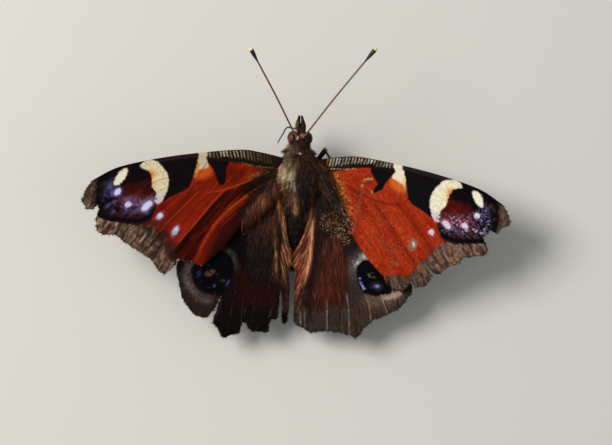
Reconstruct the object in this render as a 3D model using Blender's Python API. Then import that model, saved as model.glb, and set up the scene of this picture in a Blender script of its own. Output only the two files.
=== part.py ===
"""Peacock butterfly, life size, standing on four legs with its wings spread.

Sizes are in millimetres and MM turns them into metres. The animal is drawn in its own frame, x to its right,
y towards its head and z up its back, and then set on the floor with its head raised by PITCH. Wings are drawn
for the right side and mirrored for the left, and each side has its own worn edge.
"""

import math
import random

import bmesh
import bpy
from mathutils import Matrix, Vector
from mathutils.geometry import delaunay_2d_cdt

MM = 0.001
# The clearance between two neighbouring nodes
GAP = 0.25
# Edges that bend more than this stay sharp
SHARP_ANGLE = math.radians(35)

# Stance: the nose-up tilt, and where the frame's origin stands over the floor
PITCH = math.radians(7.0)
STAND = Vector((0.05, 4.89, 7.0))

# Head: a ball whose rings run from near its front pole to HEAD_BACK, in half turns, and then a neck
HEAD_X = -0.2
HEAD_CENTRE = Vector((HEAD_X, 3.15, 0.25))
HEAD_RADII = Vector((0.98, 1.25, 1.15))
HEAD_FRONT = 0.04
HEAD_BACK = 0.78
HEAD_BANDS = 9
NECK_RADIUS = 0.7
NECK_Z = 0.15
# Points round a ring of the head or the abdomen
BODY_SIDES = 16

# Thorax rings: y, half width, half height, height of the centre
THORAX_RINGS = (
    (1.62, 0.80, 0.80, 0.15),
    (1.20, 1.40, 1.35, 0.10),
    (0.50, 1.95, 1.90, 0.05),
    (-0.60, 2.35, 2.30, 0.00),
    (-2.00, 2.55, 2.50, 0.00),
    (-3.40, 2.50, 2.50, -0.05),
    (-4.70, 2.15, 2.20, -0.15),
    (-5.70, 1.75, 1.80, -0.35),
    (-6.20, 1.40, 1.40, -0.50),
)
THORAX_SIDES = 20
# How far ahead and behind a point the thorax's slope is taken
SLOPE_REACH = 0.2

# Abdomen: its ends, widest half width, the share of that at its front, how far along it swells, how bluntly
# it closes, the step between segments and the share of a segment before its step
ABDOMEN_START = -6.5
ABDOMEN_END = -14.9
ABDOMEN_SEGMENTS = 8
ABDOMEN_START_Z = -0.65
ABDOMEN_WIDEST = 1.62
ABDOMEN_FRONT_SHARE = 0.72
ABDOMEN_SWELL_END = 0.6
ABDOMEN_BLUNTNESS = 2.6
ABDOMEN_FLATNESS = 0.95
ABDOMEN_TIP = (0.25, 0.24)
ABDOMEN_DROP = 0.2
SEGMENT_STEP = 0.07
SEGMENT_SHARE = 0.86

# Locks of hair on the thorax: rows down the back as y, how many and the outermost one's degrees from straight
# up, and where a lock points, and then the collar's, the flanks' and the belly's
SEED = 11
BACK_ROWS = (
    (0.8, 4, 26), (-0.1, 6, 36), (-1.0, 7, 42), (-1.9, 6, 42),
    (-2.8, 7, 42), (-3.7, 6, 42), (-4.5, 5, 42), (-5.2, 4, 42),
)
BACK_OUTWARDS = 1.3
BACK_SCATTER = 0.12
BACK_REARWARDS = -0.9
BACK_UPWARDS = 0.26
BACK_HUG = 0.12
COLLAR_Y = 0.95
COLLAR_ANGLES = (-50, -25, 0, 25, 50)
COLLAR_AIM = (0.5, 0.75, 0.5)
FLANK_ANGLE = 108
FLANK_Y = (0.3, -0.6, -1.5, -2.4, -3.3, -4.2)
FLANK_AIM = (0.12, -1, -0.35)
BELLY_Y = (-0.3, -2.5, -4.7)
BELLY_AIM = (0, -1, 0.05)
LOCK_LENGTH = 2.1
LOCK_VARIETY = 0.15
FLANK_LOCK = 0.8
SHORT_LOCK = 0.7
LOCK_WIDTH = 0.95
LOCK_THICKNESS = 0.45
LOCK_SINK = 0.45
LOCK_LIFT = 0.3
LOCK_SIDES = 6
LOCK_ROOT_GIRTH = 0.8
LOCK_LEAST_THICKNESS = 0.35
# Rings along a lock: shares of its length, of its lift and of its girth
LOCK_RINGS = ((0.28, 0.75, 1.0), (0.66, 1.0, 0.78), (1.0, 0.65, 0.18))

# Eyes: place beside and ahead of the head's centre, radii, and how finely eye and socket are divided
EYE_OFFSET = 0.92
EYE_AHEAD = 0.05
EYE_RADII = Vector((0.85, 0.98, 1.02))
EYE_SIDES, EYE_BANDS = 16, 10
SOCKET_SIDES, SOCKET_BANDS = 24, 14
# How far a ball's flat ends stand from its poles, in bands
POLE_SHARE = 0.35

# Wings: thickness of the membrane, height and half width of a vein's ridge, and how much of the height is
# gone at its end
MEMBRANE = 0.5
RIDGE = 0.22
RIDGE_HALF_WIDTH = 0.3
RIDGE_LOSS = 0.45

# Wing surfaces: height at the root, climb outwards, how that levels out, and the fore wing's arch about an
# axis that leaves the root at FORE_AXIS_Y square to FORE_ACROSS
WING_ROOT_X = 2.5
FORE_ROOT_Z = 1.05
FORE_CLIMB = 0.2
FORE_LEVELLING = 0.0028
FORE_ARCH = 0.008
FORE_AXIS_Y = -0.8
FORE_ACROSS = (-0.366, -0.932)
HIND_ROOT_Z = 0.25
HIND_CLIMB = 0.11
HIND_LEVELLING = 0.002

# The fore wing's smooth edges, and its main veins, outwards from the root
FORE_COSTA = ((2.5, 0.3), (5.6, 0.85), (8.4, 1.03), (14.0, 0.25), (19.6, -0.85), (25.2, -2.45), (28.45, -4.3))
FORE_DORSUM = ((12.75, -15.6), (9.9, -12.7), (7.15, -8.8), (4.4, -5.2), (2.7, -2.6))
FORE_VEINS = {
    "costa": ((3.2, 0.05), (8.4, 0.5), (14.0, -0.25), (19.6, -1.4), (25.2, -3.1), (28.4, -5.2)),
    "radius": ((3.2, -0.55), (8.0, -1.05), (13.0, -1.95), (19.0, -3.5), (25.0, -5.3), (29.2, -7.4)),
    "cubitus": ((3.2, -1.3), (6.6, -3.1), (10.4, -4.45), (13.4, -5.5)),
    "cell_end": ((13.3, -2.3), (13.9, -3.9), (13.5, -5.3)),
    "media_1": ((13.7, -2.9), (19.0, -5.3), (24.0, -7.4), (27.3, -8.6)),
    "media_2": ((14.0, -4.0), (19.0, -7.4), (23.6, -10.0), (26.9, -11.3)),
    "media_3": ((13.7, -5.6), (17.7, -8.4), (21.0, -10.9), (23.9, -12.4)),
    "cubitus_1": ((11.6, -5.2), (15.2, -8.8), (18.8, -12.2), (20.9, -14.0)),
    "cubitus_2": ((7.9, -4.0), (11.2, -7.7), (15.0, -12.2), (17.9, -16.1)),
    "anal": ((3.3, -2.2), (5.8, -5.6), (8.9, -9.8), (12.0, -13.6), (13.3, -15.2)),
}

# The hind wing's smooth edges and main veins
HIND_COSTA = ((2.5, -2.75), (6.0, -3.4), (9.6, -5.2), (13.0, -8.6), (15.6, -12.6), (16.45, -16.0))
HIND_INNER_Y = (-16.2, -14.6, -13.0, -11.2, -9.4, -7.6, -6.3)
HIND_INNER_LEAST = 0.75
HIND_ROOT_REAR = (2.2, -5.7)
HIND_VEINS = {
    "radius_1": ((3.2, -3.1), (6.3, -4.3), (9.6, -6.5), (12.7, -10.0), (14.9, -13.9), (15.8, -16.9)),
    "sector": ((3.2, -3.7), (7.0, -6.6), (10.8, -11.2), (13.4, -15.6), (14.9, -19.3)),
    "media_1": ((7.4, -7.5), (9.9, -12.0), (12.2, -16.8), (13.5, -20.9)),
    "media_3": ((6.3, -8.0), (8.7, -12.8), (10.4, -18.2), (11.2, -21.9)),
    "cubitus_1": ((3.4, -4.4), (5.4, -8.2), (6.9, -13.0), (7.9, -18.8), (8.6, -24.0)),
    "cubitus_2": ((4.5, -7.2), (5.1, -12.6), (5.4, -18.5), (5.4, -23.5)),
    "anal": ((3.0, -5.2), (3.4, -9.0), (3.3, -16.0), (3.1, -23.7)),
}
# The lengthwise fold that stands up beside the abdomen: its line, height and half width
HIND_FOLD = ((2.5, -6.2), (2.6, -9.0), (2.3, -14.0), (1.8, -20.0), (1.6, -22.4))
HIND_FOLD_HEIGHT = 0.5
HIND_FOLD_HALF_WIDTH = 1.1
# The first share of a fold's or a pleat's length, over which it rises to its full height
HIND_FOLD_ONSET = 0.2
PLEAT_ONSET = 0.25

# Worn outer edges, from the end of the costa round to the start of the rear edge
FORE_WORN = {
    "right": (
        (28.8, -4.6), (29.35, -5.4), (29.75, -6.2), (30.0, -6.9), (29.5, -7.4), (28.6, -7.8),
        (28.15, -8.6), (27.2, -8.2), (26.25, -9.2), (26.95, -10.9), (26.75, -11.65), (24.9, -11.95),
        (23.45, -12.3), (23.2, -13.0), (21.5, -13.6), (20.5, -14.75), (19.8, -14.75), (17.9, -13.0),
        (19.45, -15.1), (18.55, -16.6), (17.2, -16.75), (16.5, -15.9), (15.8, -17.0), (15.0, -17.35),
        (13.9, -16.95), (12.75, -15.9),
    ),
    "left": (
        (28.8, -4.6), (29.3, -5.3), (29.75, -6.2), (30.1, -7.5), (29.3, -8.7), (28.5, -8.55),
        (27.8, -8.0), (27.65, -8.6), (28.0, -10.0), (27.75, -11.6), (26.7, -12.1), (25.1, -11.95),
        (23.6, -13.0), (22.0, -13.85), (20.4, -14.9), (19.6, -15.4), (19.0, -16.5), (17.9, -17.1),
        (16.7, -15.8), (15.9, -14.95), (14.5, -15.1), (13.5, -15.6), (12.9, -15.55),
    ),
}
HIND_WORN = {
    "right": (
        (16.85, -16.7), (16.75, -17.6), (15.9, -19.0), (14.95, -20.05), (13.6, -20.85), (11.85, -21.65),
        (10.65, -22.7), (9.9, -23.85), (9.2, -24.5), (8.5, -24.1), (7.1, -23.75), (5.7, -23.7), (4.3, -23.7),
        (2.9, -24.05), (2.0, -23.55), (1.0, -23.1), (0.45, -22.5), (0.6, -21.0), (0.9, -19.0), (0.85, -17.4),
    ),
    "left": (
        (16.3, -16.8), (16.0, -18.0), (15.45, -20.1), (14.1, -21.85), (13.3, -22.6), (11.7, -22.95),
        (10.9, -21.7), (9.9, -19.7), (10.55, -22.0), (11.0, -23.5), (10.3, -24.1), (9.3, -25.55),
        (8.3, -25.1), (7.05, -24.7), (6.65, -23.2), (6.2, -23.1), (5.8, -24.0), (5.2, -24.4),
        (3.05, -24.3), (2.75, -22.4), (2.0, -22.5), (1.75, -22.2), (1.62, -18.4), (1.35, -18.4),
        (1.2, -23.0), (0.75, -23.2), (0.35, -22.6), (0.4, -19.6), (0.7, -16.9),
    ),
}
# The left fore wing's pleat: crest and valley, outwards, and how far each stands from the wing's plane
PLEAT_CREST = ((3.6, -1.7), (8.2, -4.7), (12.6, -8.9), (17.6, -14.4))
PLEAT_VALLEY = ((3.6, -2.6), (7.2, -6.4), (10.4, -10.4), (14.1, -15.0))
PLEAT_HEIGHT = 0.35
PLEAT_HALF_WIDTH = 1.5

# Spacing of the points along veins and folds, on the membrane between them and along the edges, and how near
# to a line a point of the membrane may lie
LINE_STEP = 2.4
GRID_STEP = 2.6
EDGE_STEP = 1.7
GRID_COLUMNS = 14
GRID_CLEARANCE = 0.42 * GRID_STEP
MERGE_DISTANCE = 1e-4

# Thin round limbs: sides of their tubes
TUBE_SIDES = 8

# Feelers: root on the head, first straight run, tip, where and how far the shaft bows, and the radii of shaft
# and club, with the club's share of the length
ANTENNA_ROOTS = {"left": (-0.45, 0.35), "right": (0.45, 0.35)}
ANTENNA_START = 0.5
ANTENNA_TIPS = {"left": Vector((-7.85, 15.15, 8.6)), "right": Vector((9.72, 16.35, 4.3))}
ANTENNA_BOW_SHARE = 0.45
ANTENNA_BOW = 0.9
ANTENNA_STEP = 0.8
ANTENNA_RADIUS = 0.25
CLUB_RADIUS = 0.34
CLUB_SHARE = 0.17
CLUB_SWELL = 1.5
CLUB_TIP = 0.6

# Legs: the root's x and y, then knee, ankle and toe, the last two on the floor and not in the animal's frame
LEGS = {
    "leg_mid_right": ((0.95, -1.5), (3.4, 1.75, -2.1), (6.0, -0.9), (8.6, 0.1)),
    "leg_mid_left": ((-0.95, -1.5), (-3.5, -0.1, -2.1), (-6.0, -1.5), (-8.6, -0.7)),
    "leg_hind_right": ((0.95, -3.7), (3.8, -6.4, -2.3), (5.6, -12.0), (6.9, -15.2)),
    "leg_hind_left": ((-0.95, -3.7), (-3.9, -6.2, -2.3), (-5.9, -11.7), (-7.4, -14.8)),
}
COXA_LENGTH = 0.9
COXA_RADIUS = 0.34
FEMUR_RADIUS = 0.38
TIBIA_RADIUS = 0.28
TARSUS_RADIUS = 0.25
TOE_RADIUS = 0.16
TARSUS_HEIGHT = 0.17
ANKLE_HEIGHT = 0.35
LEG_STEP = 1.6
FORE_LEG_ROOT = (0.75, 0.55)
FORE_LEG_START = 0.5
FORE_LEG_BENDS = ((1.05, 1.7, -3.0), (0.95, 3.1, -2.75))
FORE_LEG_STEP = 0.7
FORE_LEG_RADIUS = 0.3
FORE_LEG_TIP_RADIUS = 0.22

# Palps: root under the head, first bend, tip beyond the head's front, how far both tips lean to the left, and
# the share of the length that isn't tapered
PALP_ROOT = (0.38, 0.95)
PALP_START = 0.25
PALP_BEND = Vector((0, 0.55, 0.1))
PALP_TIP = (0.24, 1.9, 0.35)
PALP_LEAN = -0.1
PALP_STEP = 0.42
PALP_RADIUS = 0.3
PALP_TAPER = 0.62
PALP_EVEN_SHARE = 0.35

# Feeding tube
PROBOSCIS_ROOT = (0.0, 0.85)
PROBOSCIS_START = 0.6
PROBOSCIS_BENDS = (
    (-1.28, 4.55, -1.7), (-2.12, 4.58, -1.0), (-2.65, 3.7, -2.6), (-3.22, 2.62, -4.6), (-3.34, 2.4, -5.9),
)
PROBOSCIS_STEP = 0.6
PROBOSCIS_RADIUS = 0.25
PROBOSCIS_END_SHARES = (0.9, 0.6)

COLOURS = {
    "fur": ((0.075, 0.045, 0.025), 0.9),
    "chitin": ((0.06, 0.03, 0.018), 0.55),
    "eye": ((0.05, 0.018, 0.012), 0.2),
    "wing_red": ((0.42, 0.055, 0.012), 0.75),
    "wing_dark": ((0.06, 0.025, 0.018), 0.8),
}


def clear_scene():
    for old in list(bpy.data.objects):
        bpy.data.objects.remove(old)


def material(name):
    found = bpy.data.materials.get(name)
    if found:
        return found
    colour, roughness = COLOURS[name]
    made = bpy.data.materials.new(name)
    made.use_nodes = True
    shader = made.node_tree.nodes["Principled BSDF"]
    shader.inputs["Base Color"].default_value = (*colour, 1.0)
    shader.inputs["Roughness"].default_value = roughness
    shader.inputs["Metallic"].default_value = 0.0
    return made


def stance():
    """The matrix that sets the animal's own frame on the floor, in millimetres."""
    return Matrix.Translation(STAND) @ Matrix.Rotation(PITCH, 4, "X")


def node(name, points, faces, finish, standing=False):
    """A named object from points in millimetres, in the animal's frame or, if standing, on the floor."""
    placed = [Vector(p) for p in points] if standing else [stance() @ Vector(p) for p in points]
    mesh = bpy.data.meshes.new(name)
    mesh.from_pydata([p * MM for p in placed], [], faces)
    mesh.validate()
    mesh.materials.append(material(finish))
    made = bpy.data.objects.new(name, mesh)
    bpy.context.scene.collection.objects.link(made)
    mesh.shade_smooth()
    mesh.set_sharp_from_angle(angle=SHARP_ANGLE)
    return made


def smooth_path(points, step):
    """Points about a step apart on a Catmull-Rom curve through the given ones, ends included."""
    given = [Vector(p) for p in points]
    ends = [2 * given[0] - given[1], *given, 2 * given[-1] - given[-2]]
    path = []
    for a, b, c, d in zip(ends, ends[1:], ends[2:], ends[3:]):
        pieces = max(1, round((c - b).length / step))
        for i in range(pieces):
            t = i / pieces
            bend = (2 * a - 5 * b + 4 * c - d) * t**2 + (3 * b - a - 3 * c + d) * t**3
            path.append(0.5 * (2 * b + (c - a) * t + bend))
    return [*path, given[-1]]


def ring_faces(rings, sides):
    """Faces that join rings of points one after another, close both ends and face out."""
    faces = [list(range(sides))[::-1]]
    for r in range(rings - 1):
        for s in range(sides):
            a, b = r * sides + s, r * sides + (s + 1) % sides
            faces.append([a, b, b + sides, a + sides])
    return [*faces, [(rings - 1) * sides + s for s in range(sides)]]


def loft(rings, sides):
    """A closed body of ellipses across y. Each ring is x, y, z of its centre, half width and half height."""
    points = []
    for x, y, z, width, height in rings:
        for s in range(sides):
            turn = 2 * math.pi * s / sides
            points.append(Vector((x + width * math.cos(turn), y, z + height * math.sin(turn))))
    faces = ring_faces(len(rings), sides)
    return points, faces if rings[0][1] > rings[-1][1] else [f[::-1] for f in faces]


def tube(path, radii, sides):
    """A closed tube along a path, its cross-section carried along without twist."""
    path = [Vector(p) for p in path]
    tangents = []
    for i in range(len(path)):
        before = path[max(i - 1, 0)]
        after = path[min(i + 1, len(path) - 1)]
        tangents.append((after - before).normalized())
    across = tangents[0].orthogonal().normalized()
    points = []
    for centre, along, radius in zip(path, tangents, radii):
        across = (across - along * across.dot(along)).normalized()
        up = along.cross(across)
        for s in range(sides):
            turn = 2 * math.pi * s / sides
            points.append(centre + radius * (math.cos(turn) * across + math.sin(turn) * up))
    return points, ring_faces(len(path), sides)


def between(rings, y):
    """Half width, half height and centre height of a body at y, read between its rings."""
    rows = sorted(rings)
    for low, high in zip(rows, rows[1:]):
        if low[0] <= y <= high[0]:
            share = (y - low[0]) / (high[0] - low[0])
            return [a + (b - a) * share for a, b in zip(low[1:], high[1:])]
    return list((rows[0] if y < rows[0][0] else rows[-1])[1:])


def thorax_side(y, z):
    """How far the thorax reaches sideways at this y and z."""
    width, height, centre = between(THORAX_RINGS, y)
    rise = min(abs(z - centre) / height, 0.98)
    return width * math.sqrt(1 - rise * rise)


def thorax_underside(x, y):
    """The point under the thorax at x and y, with the direction straight out of it."""
    width, height, centre = between(THORAX_RINGS, y)
    drop = math.sqrt(1 - (x / width) ** 2)
    outward = Vector((x / width**2, 0, -drop / height)).normalized()
    return Vector((x, y, centre - height * drop)), outward


def thorax_point(angle, y):
    """The point on the thorax at this angle from straight up and at y, with the direction out of it."""
    width, height, centre = between(THORAX_RINGS, y)
    ahead = between(THORAX_RINGS, y + SLOPE_REACH)[1]
    behind = between(THORAX_RINGS, y - SLOPE_REACH)[1]
    slope = (ahead - behind) / (2 * SLOPE_REACH)
    point = Vector((width * math.sin(angle), y, centre + height * math.cos(angle)))
    return point, Vector((math.sin(angle), -slope, math.cos(angle))).normalized()


def lock(root, outward, along, length):
    """A flat, tapered, bending lock of hair with its root sunk in."""
    across = along.cross(outward).normalized()
    up = across.cross(along).normalized()
    rings = [(root - LOCK_SINK * outward, LOCK_ROOT_GIRTH)]
    for reach, lift, share in LOCK_RINGS:
        rings.append((root + along * length * reach + outward * LOCK_LIFT * lift, share))
    points = []
    for centre, share in rings:
        thick = LOCK_THICKNESS / 2 * max(share, LOCK_LEAST_THICKNESS)
        for s in range(LOCK_SIDES):
            turn = 2 * math.pi * s / LOCK_SIDES
            side = across * (LOCK_WIDTH / 2 * share * math.cos(turn))
            points.append(centre + side + up * (thick * math.sin(turn)))
    return points, ring_faces(len(rings), LOCK_SIDES)


def thorax_locks():
    """Locks over the back, swept back and out, a collar, and a few on the flanks and belly."""
    dice = random.Random(SEED)
    placed = []
    for y, count, spread in BACK_ROWS:
        for i in range(count):
            place = 2 * i / (count - 1) - 1
            angle = math.radians(spread) * place
            root, outward = thorax_point(angle, y)
            hug = 1 - abs(place)
            sideways = BACK_OUTWARDS * math.sin(angle) + dice.uniform(-BACK_SCATTER, BACK_SCATTER)
            aim = Vector((sideways, BACK_REARWARDS, BACK_UPWARDS - BACK_HUG * hug))
            placed.append((root, outward, aim - outward * aim.dot(outward) * hug, 1.0))
    for degrees in COLLAR_ANGLES:
        angle = math.radians(degrees)
        root, outward = thorax_point(angle, COLLAR_Y)
        sideways, forwards, upwards = COLLAR_AIM
        placed.append((root, outward, Vector((sideways * math.sin(angle), forwards, upwards)), SHORT_LOCK))
    for sign in (-1, 1):
        for y in FLANK_Y:
            root, outward = thorax_point(sign * math.radians(FLANK_ANGLE), y)
            placed.append((root, outward, Vector((sign * FLANK_AIM[0], *FLANK_AIM[1:])), FLANK_LOCK))
    for y in BELLY_Y:
        root, outward = thorax_underside(0, y)
        placed.append((root, outward, Vector(BELLY_AIM), SHORT_LOCK))
    locks = []
    for root, outward, along, share in placed:
        length = LOCK_LENGTH * share * dice.uniform(1 - LOCK_VARIETY, 1 + LOCK_VARIETY)
        locks.append(lock(root, outward, along.normalized(), length))
    return locks


def fuse(target, pieces):
    """Joins closed pieces to target by one union, and keeps the largest closed surface."""
    group = bpy.data.collections.new(target.name + "_pieces")
    bpy.context.scene.collection.children.link(group)
    made = []
    for i, (points, faces) in enumerate(pieces):
        piece = node(f"{target.name}_piece_{i}", points, faces, "fur")
        bpy.context.scene.collection.objects.unlink(piece)
        group.objects.link(piece)
        made.append(piece)
    change = target.modifiers.new("union", "BOOLEAN")
    change.operation = "UNION"
    change.operand_type = "COLLECTION"
    change.collection = group
    change.solver = "EXACT"
    apply_modifiers(target)
    for piece in made:
        bpy.data.objects.remove(piece)
    bpy.data.collections.remove(group)
    keep_largest(target)


def keep_largest(target):
    """Drops all but the connected surface with the most volume."""
    shape = bmesh.new()
    shape.from_mesh(target.data)
    bmesh.ops.triangulate(shape, faces=shape.faces[:])
    left = set(shape.verts)
    groups = []
    while left:
        group, edge = set(), [left.pop()]
        while edge:
            vert = edge.pop()
            group.add(vert)
            for link in vert.link_edges:
                other = link.other_vert(vert)
                if other in left:
                    left.remove(other)
                    edge.append(other)
        groups.append(group)

    def volume(group):
        total = 0.0
        for face in {f for v in group for f in v.link_faces}:
            a, b, c = (v.co for v in face.verts)
            total += a.dot(b.cross(c)) / 6
        return abs(total)

    groups.sort(key=volume)
    for group in groups[:-1]:
        bmesh.ops.delete(shape, geom=list(group), context="VERTS")
    shape.to_mesh(target.data)
    shape.free()


def thorax():
    rings = [(0, y, z, width, height) for y, width, height, z in THORAX_RINGS]
    made = node("thorax", *loft(rings, THORAX_SIDES), "fur")
    fuse(made, thorax_locks())
    return made


def abdomen_half_width(y):
    """Half width of the abdomen without its steps: it swells, narrows and ends in a point."""
    t = min(max((ABDOMEN_START - y) / (ABDOMEN_START - ABDOMEN_END), 0.0), 1.0)
    swell = (1 - ABDOMEN_FRONT_SHARE) * math.sin(math.pi * min(t / ABDOMEN_SWELL_END, 1.0))
    return ABDOMEN_WIDEST * (ABDOMEN_FRONT_SHARE + swell) * math.sqrt(1 - t**ABDOMEN_BLUNTNESS)


def abdomen_rings():
    """Rings of the abdomen, with a small step at the end of each segment."""
    length = ABDOMEN_START - ABDOMEN_END
    rings = []
    for i in range(ABDOMEN_SEGMENTS):
        for share, step in ((0.0, 0.0), (SEGMENT_SHARE, SEGMENT_STEP)):
            t = (i + share) / ABDOMEN_SEGMENTS
            y = ABDOMEN_START - length * t
            radius = abdomen_half_width(y) + step
            z = ABDOMEN_START_Z - ABDOMEN_DROP * length * t
            rings.append((HEAD_X * t, y, z, radius, radius * ABDOMEN_FLATNESS))
    tip_z = ABDOMEN_START_Z - ABDOMEN_DROP * length
    return [*rings, (HEAD_X, ABDOMEN_END, tip_z, *ABDOMEN_TIP)]


def abdomen():
    return node("abdomen", *loft(abdomen_rings(), BODY_SIDES), "fur")


def ball(centre, radii, sides, bands):
    """A closed ellipsoid with its poles along y, in front and behind."""
    rings = []
    for i in range(bands + 1):
        turn = math.pi * (i + POLE_SHARE) / (bands + 2 * POLE_SHARE)
        y = centre.y + radii.y * math.cos(turn)
        rings.append((centre.x, y, centre.z, radii.x * math.sin(turn), radii.z * math.sin(turn)))
    return loft(rings, sides)


def head():
    """A ball drawn out behind into a short neck that faces the flat front of the thorax."""
    rings = []
    for i in range(HEAD_BANDS):
        turn = math.pi * (HEAD_FRONT + (HEAD_BACK - HEAD_FRONT) * i / (HEAD_BANDS - 1))
        width, height = HEAD_RADII.x * math.sin(turn), HEAD_RADII.z * math.sin(turn)
        rings.append((HEAD_X, HEAD_CENTRE.y + HEAD_RADII.y * math.cos(turn), HEAD_CENTRE.z, width, height))
    rings.append((HEAD_X, THORAX_RINGS[0][0] + GAP, NECK_Z, NECK_RADIUS, NECK_RADIUS))
    return node("head", *loft(rings, BODY_SIDES), "fur")


def cut_by(target, points, faces):
    """Takes the body of these points out of target."""
    cutter = node(target.name + "_cutter", points, faces, "chitin")
    change = target.modifiers.new("cut", "BOOLEAN")
    change.operation = "DIFFERENCE"
    change.object = cutter
    apply_modifiers(target)
    bpy.data.objects.remove(cutter)


def apply_modifiers(target):
    bpy.context.view_layer.update()
    graph = bpy.context.evaluated_depsgraph_get()
    evaluated = bpy.data.meshes.new_from_object(target.evaluated_get(graph))
    target.modifiers.clear()
    target.data = evaluated


def eye(side, sign):
    """A domed eye on the side of the head, hollowed behind so that it sits on the head's own curve."""
    centre = HEAD_CENTRE + Vector((sign * EYE_OFFSET, EYE_AHEAD, 0.0))
    made = node(f"eye_{side}", *ball(centre, EYE_RADII, EYE_SIDES, EYE_BANDS), "eye")
    socket = HEAD_RADII + Vector((GAP, GAP, GAP))
    cut_by(made, *ball(HEAD_CENTRE, socket, SOCKET_SIDES, SOCKET_BANDS))
    return made


def head_surface(x, y, up=1.0):
    """The point of the head's top (or underside) at x and y from its centre, with the direction out of it."""
    rise = math.sqrt(1 - (x / HEAD_RADII.x) ** 2 - (y / HEAD_RADII.y) ** 2)
    point = HEAD_CENTRE + Vector((x, y, up * HEAD_RADII.z * rise))
    away = point - HEAD_CENTRE
    outward = Vector([a / r**2 for a, r in zip(away, HEAD_RADII)]).normalized()
    return point, outward


def antenna(side):
    """A thin shaft that leaves the head straight, bows outwards and ends in a club with a rounded tip."""
    root, outward = head_surface(*ANTENNA_ROOTS[side])
    start = root + outward * GAP
    tip = ANTENNA_TIPS[side]
    middle = start.lerp(tip, ANTENNA_BOW_SHARE) + Vector((0, 0, ANTENNA_BOW))
    path = smooth_path((start, start + outward * ANTENNA_START, middle, tip), ANTENNA_STEP)
    length = sum((b - a).length for a, b in zip(path, path[1:]))
    radii, reached = [], 0.0
    for i, point in enumerate(path):
        reached += (point - path[max(i - 1, 0)]).length
        club = max(0.0, (reached / length - (1 - CLUB_SHARE)) / CLUB_SHARE)
        swell = math.sin(math.pi * 0.5 * min(club * CLUB_SWELL, 1))
        radii.append(ANTENNA_RADIUS + (CLUB_RADIUS - ANTENNA_RADIUS) * swell)
    radii[-1] *= CLUB_TIP
    return node(f"antenna_{side}", *tube(path, radii, TUBE_SIDES), "chitin")


def palp(side, sign):
    """A cone that points forwards and up from under the front of the head."""
    root, outward = head_surface(sign * PALP_ROOT[0], PALP_ROOT[1], -1.0)
    start = root + outward * GAP
    tip_x, tip_y, tip_z = PALP_TIP
    end = HEAD_CENTRE + Vector((sign * tip_x + PALP_LEAN, HEAD_RADII.y + tip_y, tip_z))
    path = smooth_path((start, start + outward * PALP_START + PALP_BEND, end), PALP_STEP)
    radii = []
    for i in range(len(path)):
        tapered = max(0.0, i / (len(path) - 1) - PALP_EVEN_SHARE) / (1 - PALP_EVEN_SHARE)
        radii.append(PALP_RADIUS * (1 - PALP_TAPER * tapered))
    return node(f"palp_{side}", *tube(path, radii, TUBE_SIDES), "fur")


def proboscis():
    """The feeding tube, bent at its knee to the left and hanging clear of the floor."""
    root, outward = head_surface(*PROBOSCIS_ROOT, -1.0)
    start = root + outward * GAP
    path = smooth_path((start, start + outward * PROBOSCIS_START, *PROBOSCIS_BENDS), PROBOSCIS_STEP)
    ends = [PROBOSCIS_RADIUS * share for share in PROBOSCIS_END_SHARES]
    radii = [PROBOSCIS_RADIUS] * (len(path) - len(ends)) + ends
    return node("proboscis", *tube(path, radii, TUBE_SIDES), "chitin")


def leg(name):
    """A walking leg from the underside of the thorax, its foot lying on a flat on the floor."""
    (root_x, root_y), knee, ankle, toe = LEGS[name]
    root, outward = thorax_underside(root_x, root_y)
    start = root + outward * GAP
    hip = start + outward * COXA_LENGTH
    on_floor = [Vector((x + STAND.x, y + STAND.y, TARSUS_HEIGHT)) for x, y in (ankle, toe)]
    above = on_floor[0] + Vector((0, 0, ANKLE_HEIGHT))
    standing = stance()
    joints = [standing @ start, standing @ hip, standing @ Vector(knee), above, *on_floor]
    path, radii = [], []
    girths = (COXA_RADIUS, FEMUR_RADIUS, TIBIA_RADIUS, TARSUS_RADIUS, TARSUS_RADIUS, TOE_RADIUS)
    for i, (a, b) in enumerate(zip(joints, joints[1:])):
        pieces = max(1, round((b - a).length / LEG_STEP))
        for k in range(pieces):
            path.append(a.lerp(b, k / pieces))
            radii.append(girths[i] + (girths[i + 1] - girths[i]) * k / pieces)
    path.append(joints[-1])
    radii.append(girths[-1])
    points, faces = tube(path, radii, TUBE_SIDES)
    flat = [Vector((p.x, p.y, max(p.z, 0.0))) for p in points]
    return node(name, flat, faces, "chitin", standing=True)


def fore_leg(side, sign):
    """One of the two small front legs, folded under the head and too short to walk on."""
    root, outward = thorax_underside(sign * FORE_LEG_ROOT[0], FORE_LEG_ROOT[1])
    start = root + outward * GAP
    bends = [Vector((sign * x, y, z)) for x, y, z in FORE_LEG_BENDS]
    path = smooth_path((start, start + outward * FORE_LEG_START, *bends), FORE_LEG_STEP)
    loss = (FORE_LEG_RADIUS - FORE_LEG_TIP_RADIUS) / (len(path) - 1)
    radii = [FORE_LEG_RADIUS - loss * i for i in range(len(path))]
    return node(f"leg_fore_{side}", *tube(path, radii, TUBE_SIDES), "fur")


def line_distance(x, y, line):
    """Distance from a point to a run of points, and how far along the run it is nearest, from 0 to 1."""
    here = Vector((x, y))
    best, place = 1e9, 0.0
    for i, (a, b) in enumerate(zip(line, line[1:])):
        along = b - a
        share = min(max((here - a).dot(along) / along.length_squared, 0.0), 1.0)
        away = (here - a - along * share).length
        if away < best:
            best, place = away, (i + share) / (len(line) - 1)
    return best, place


def bump(distance, half_width):
    """A rounded hill, 1 on its line and 0 at its half width and beyond."""
    share = min(distance / half_width, 1.0)
    return 0.5 * (1 + math.cos(math.pi * share))


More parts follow.
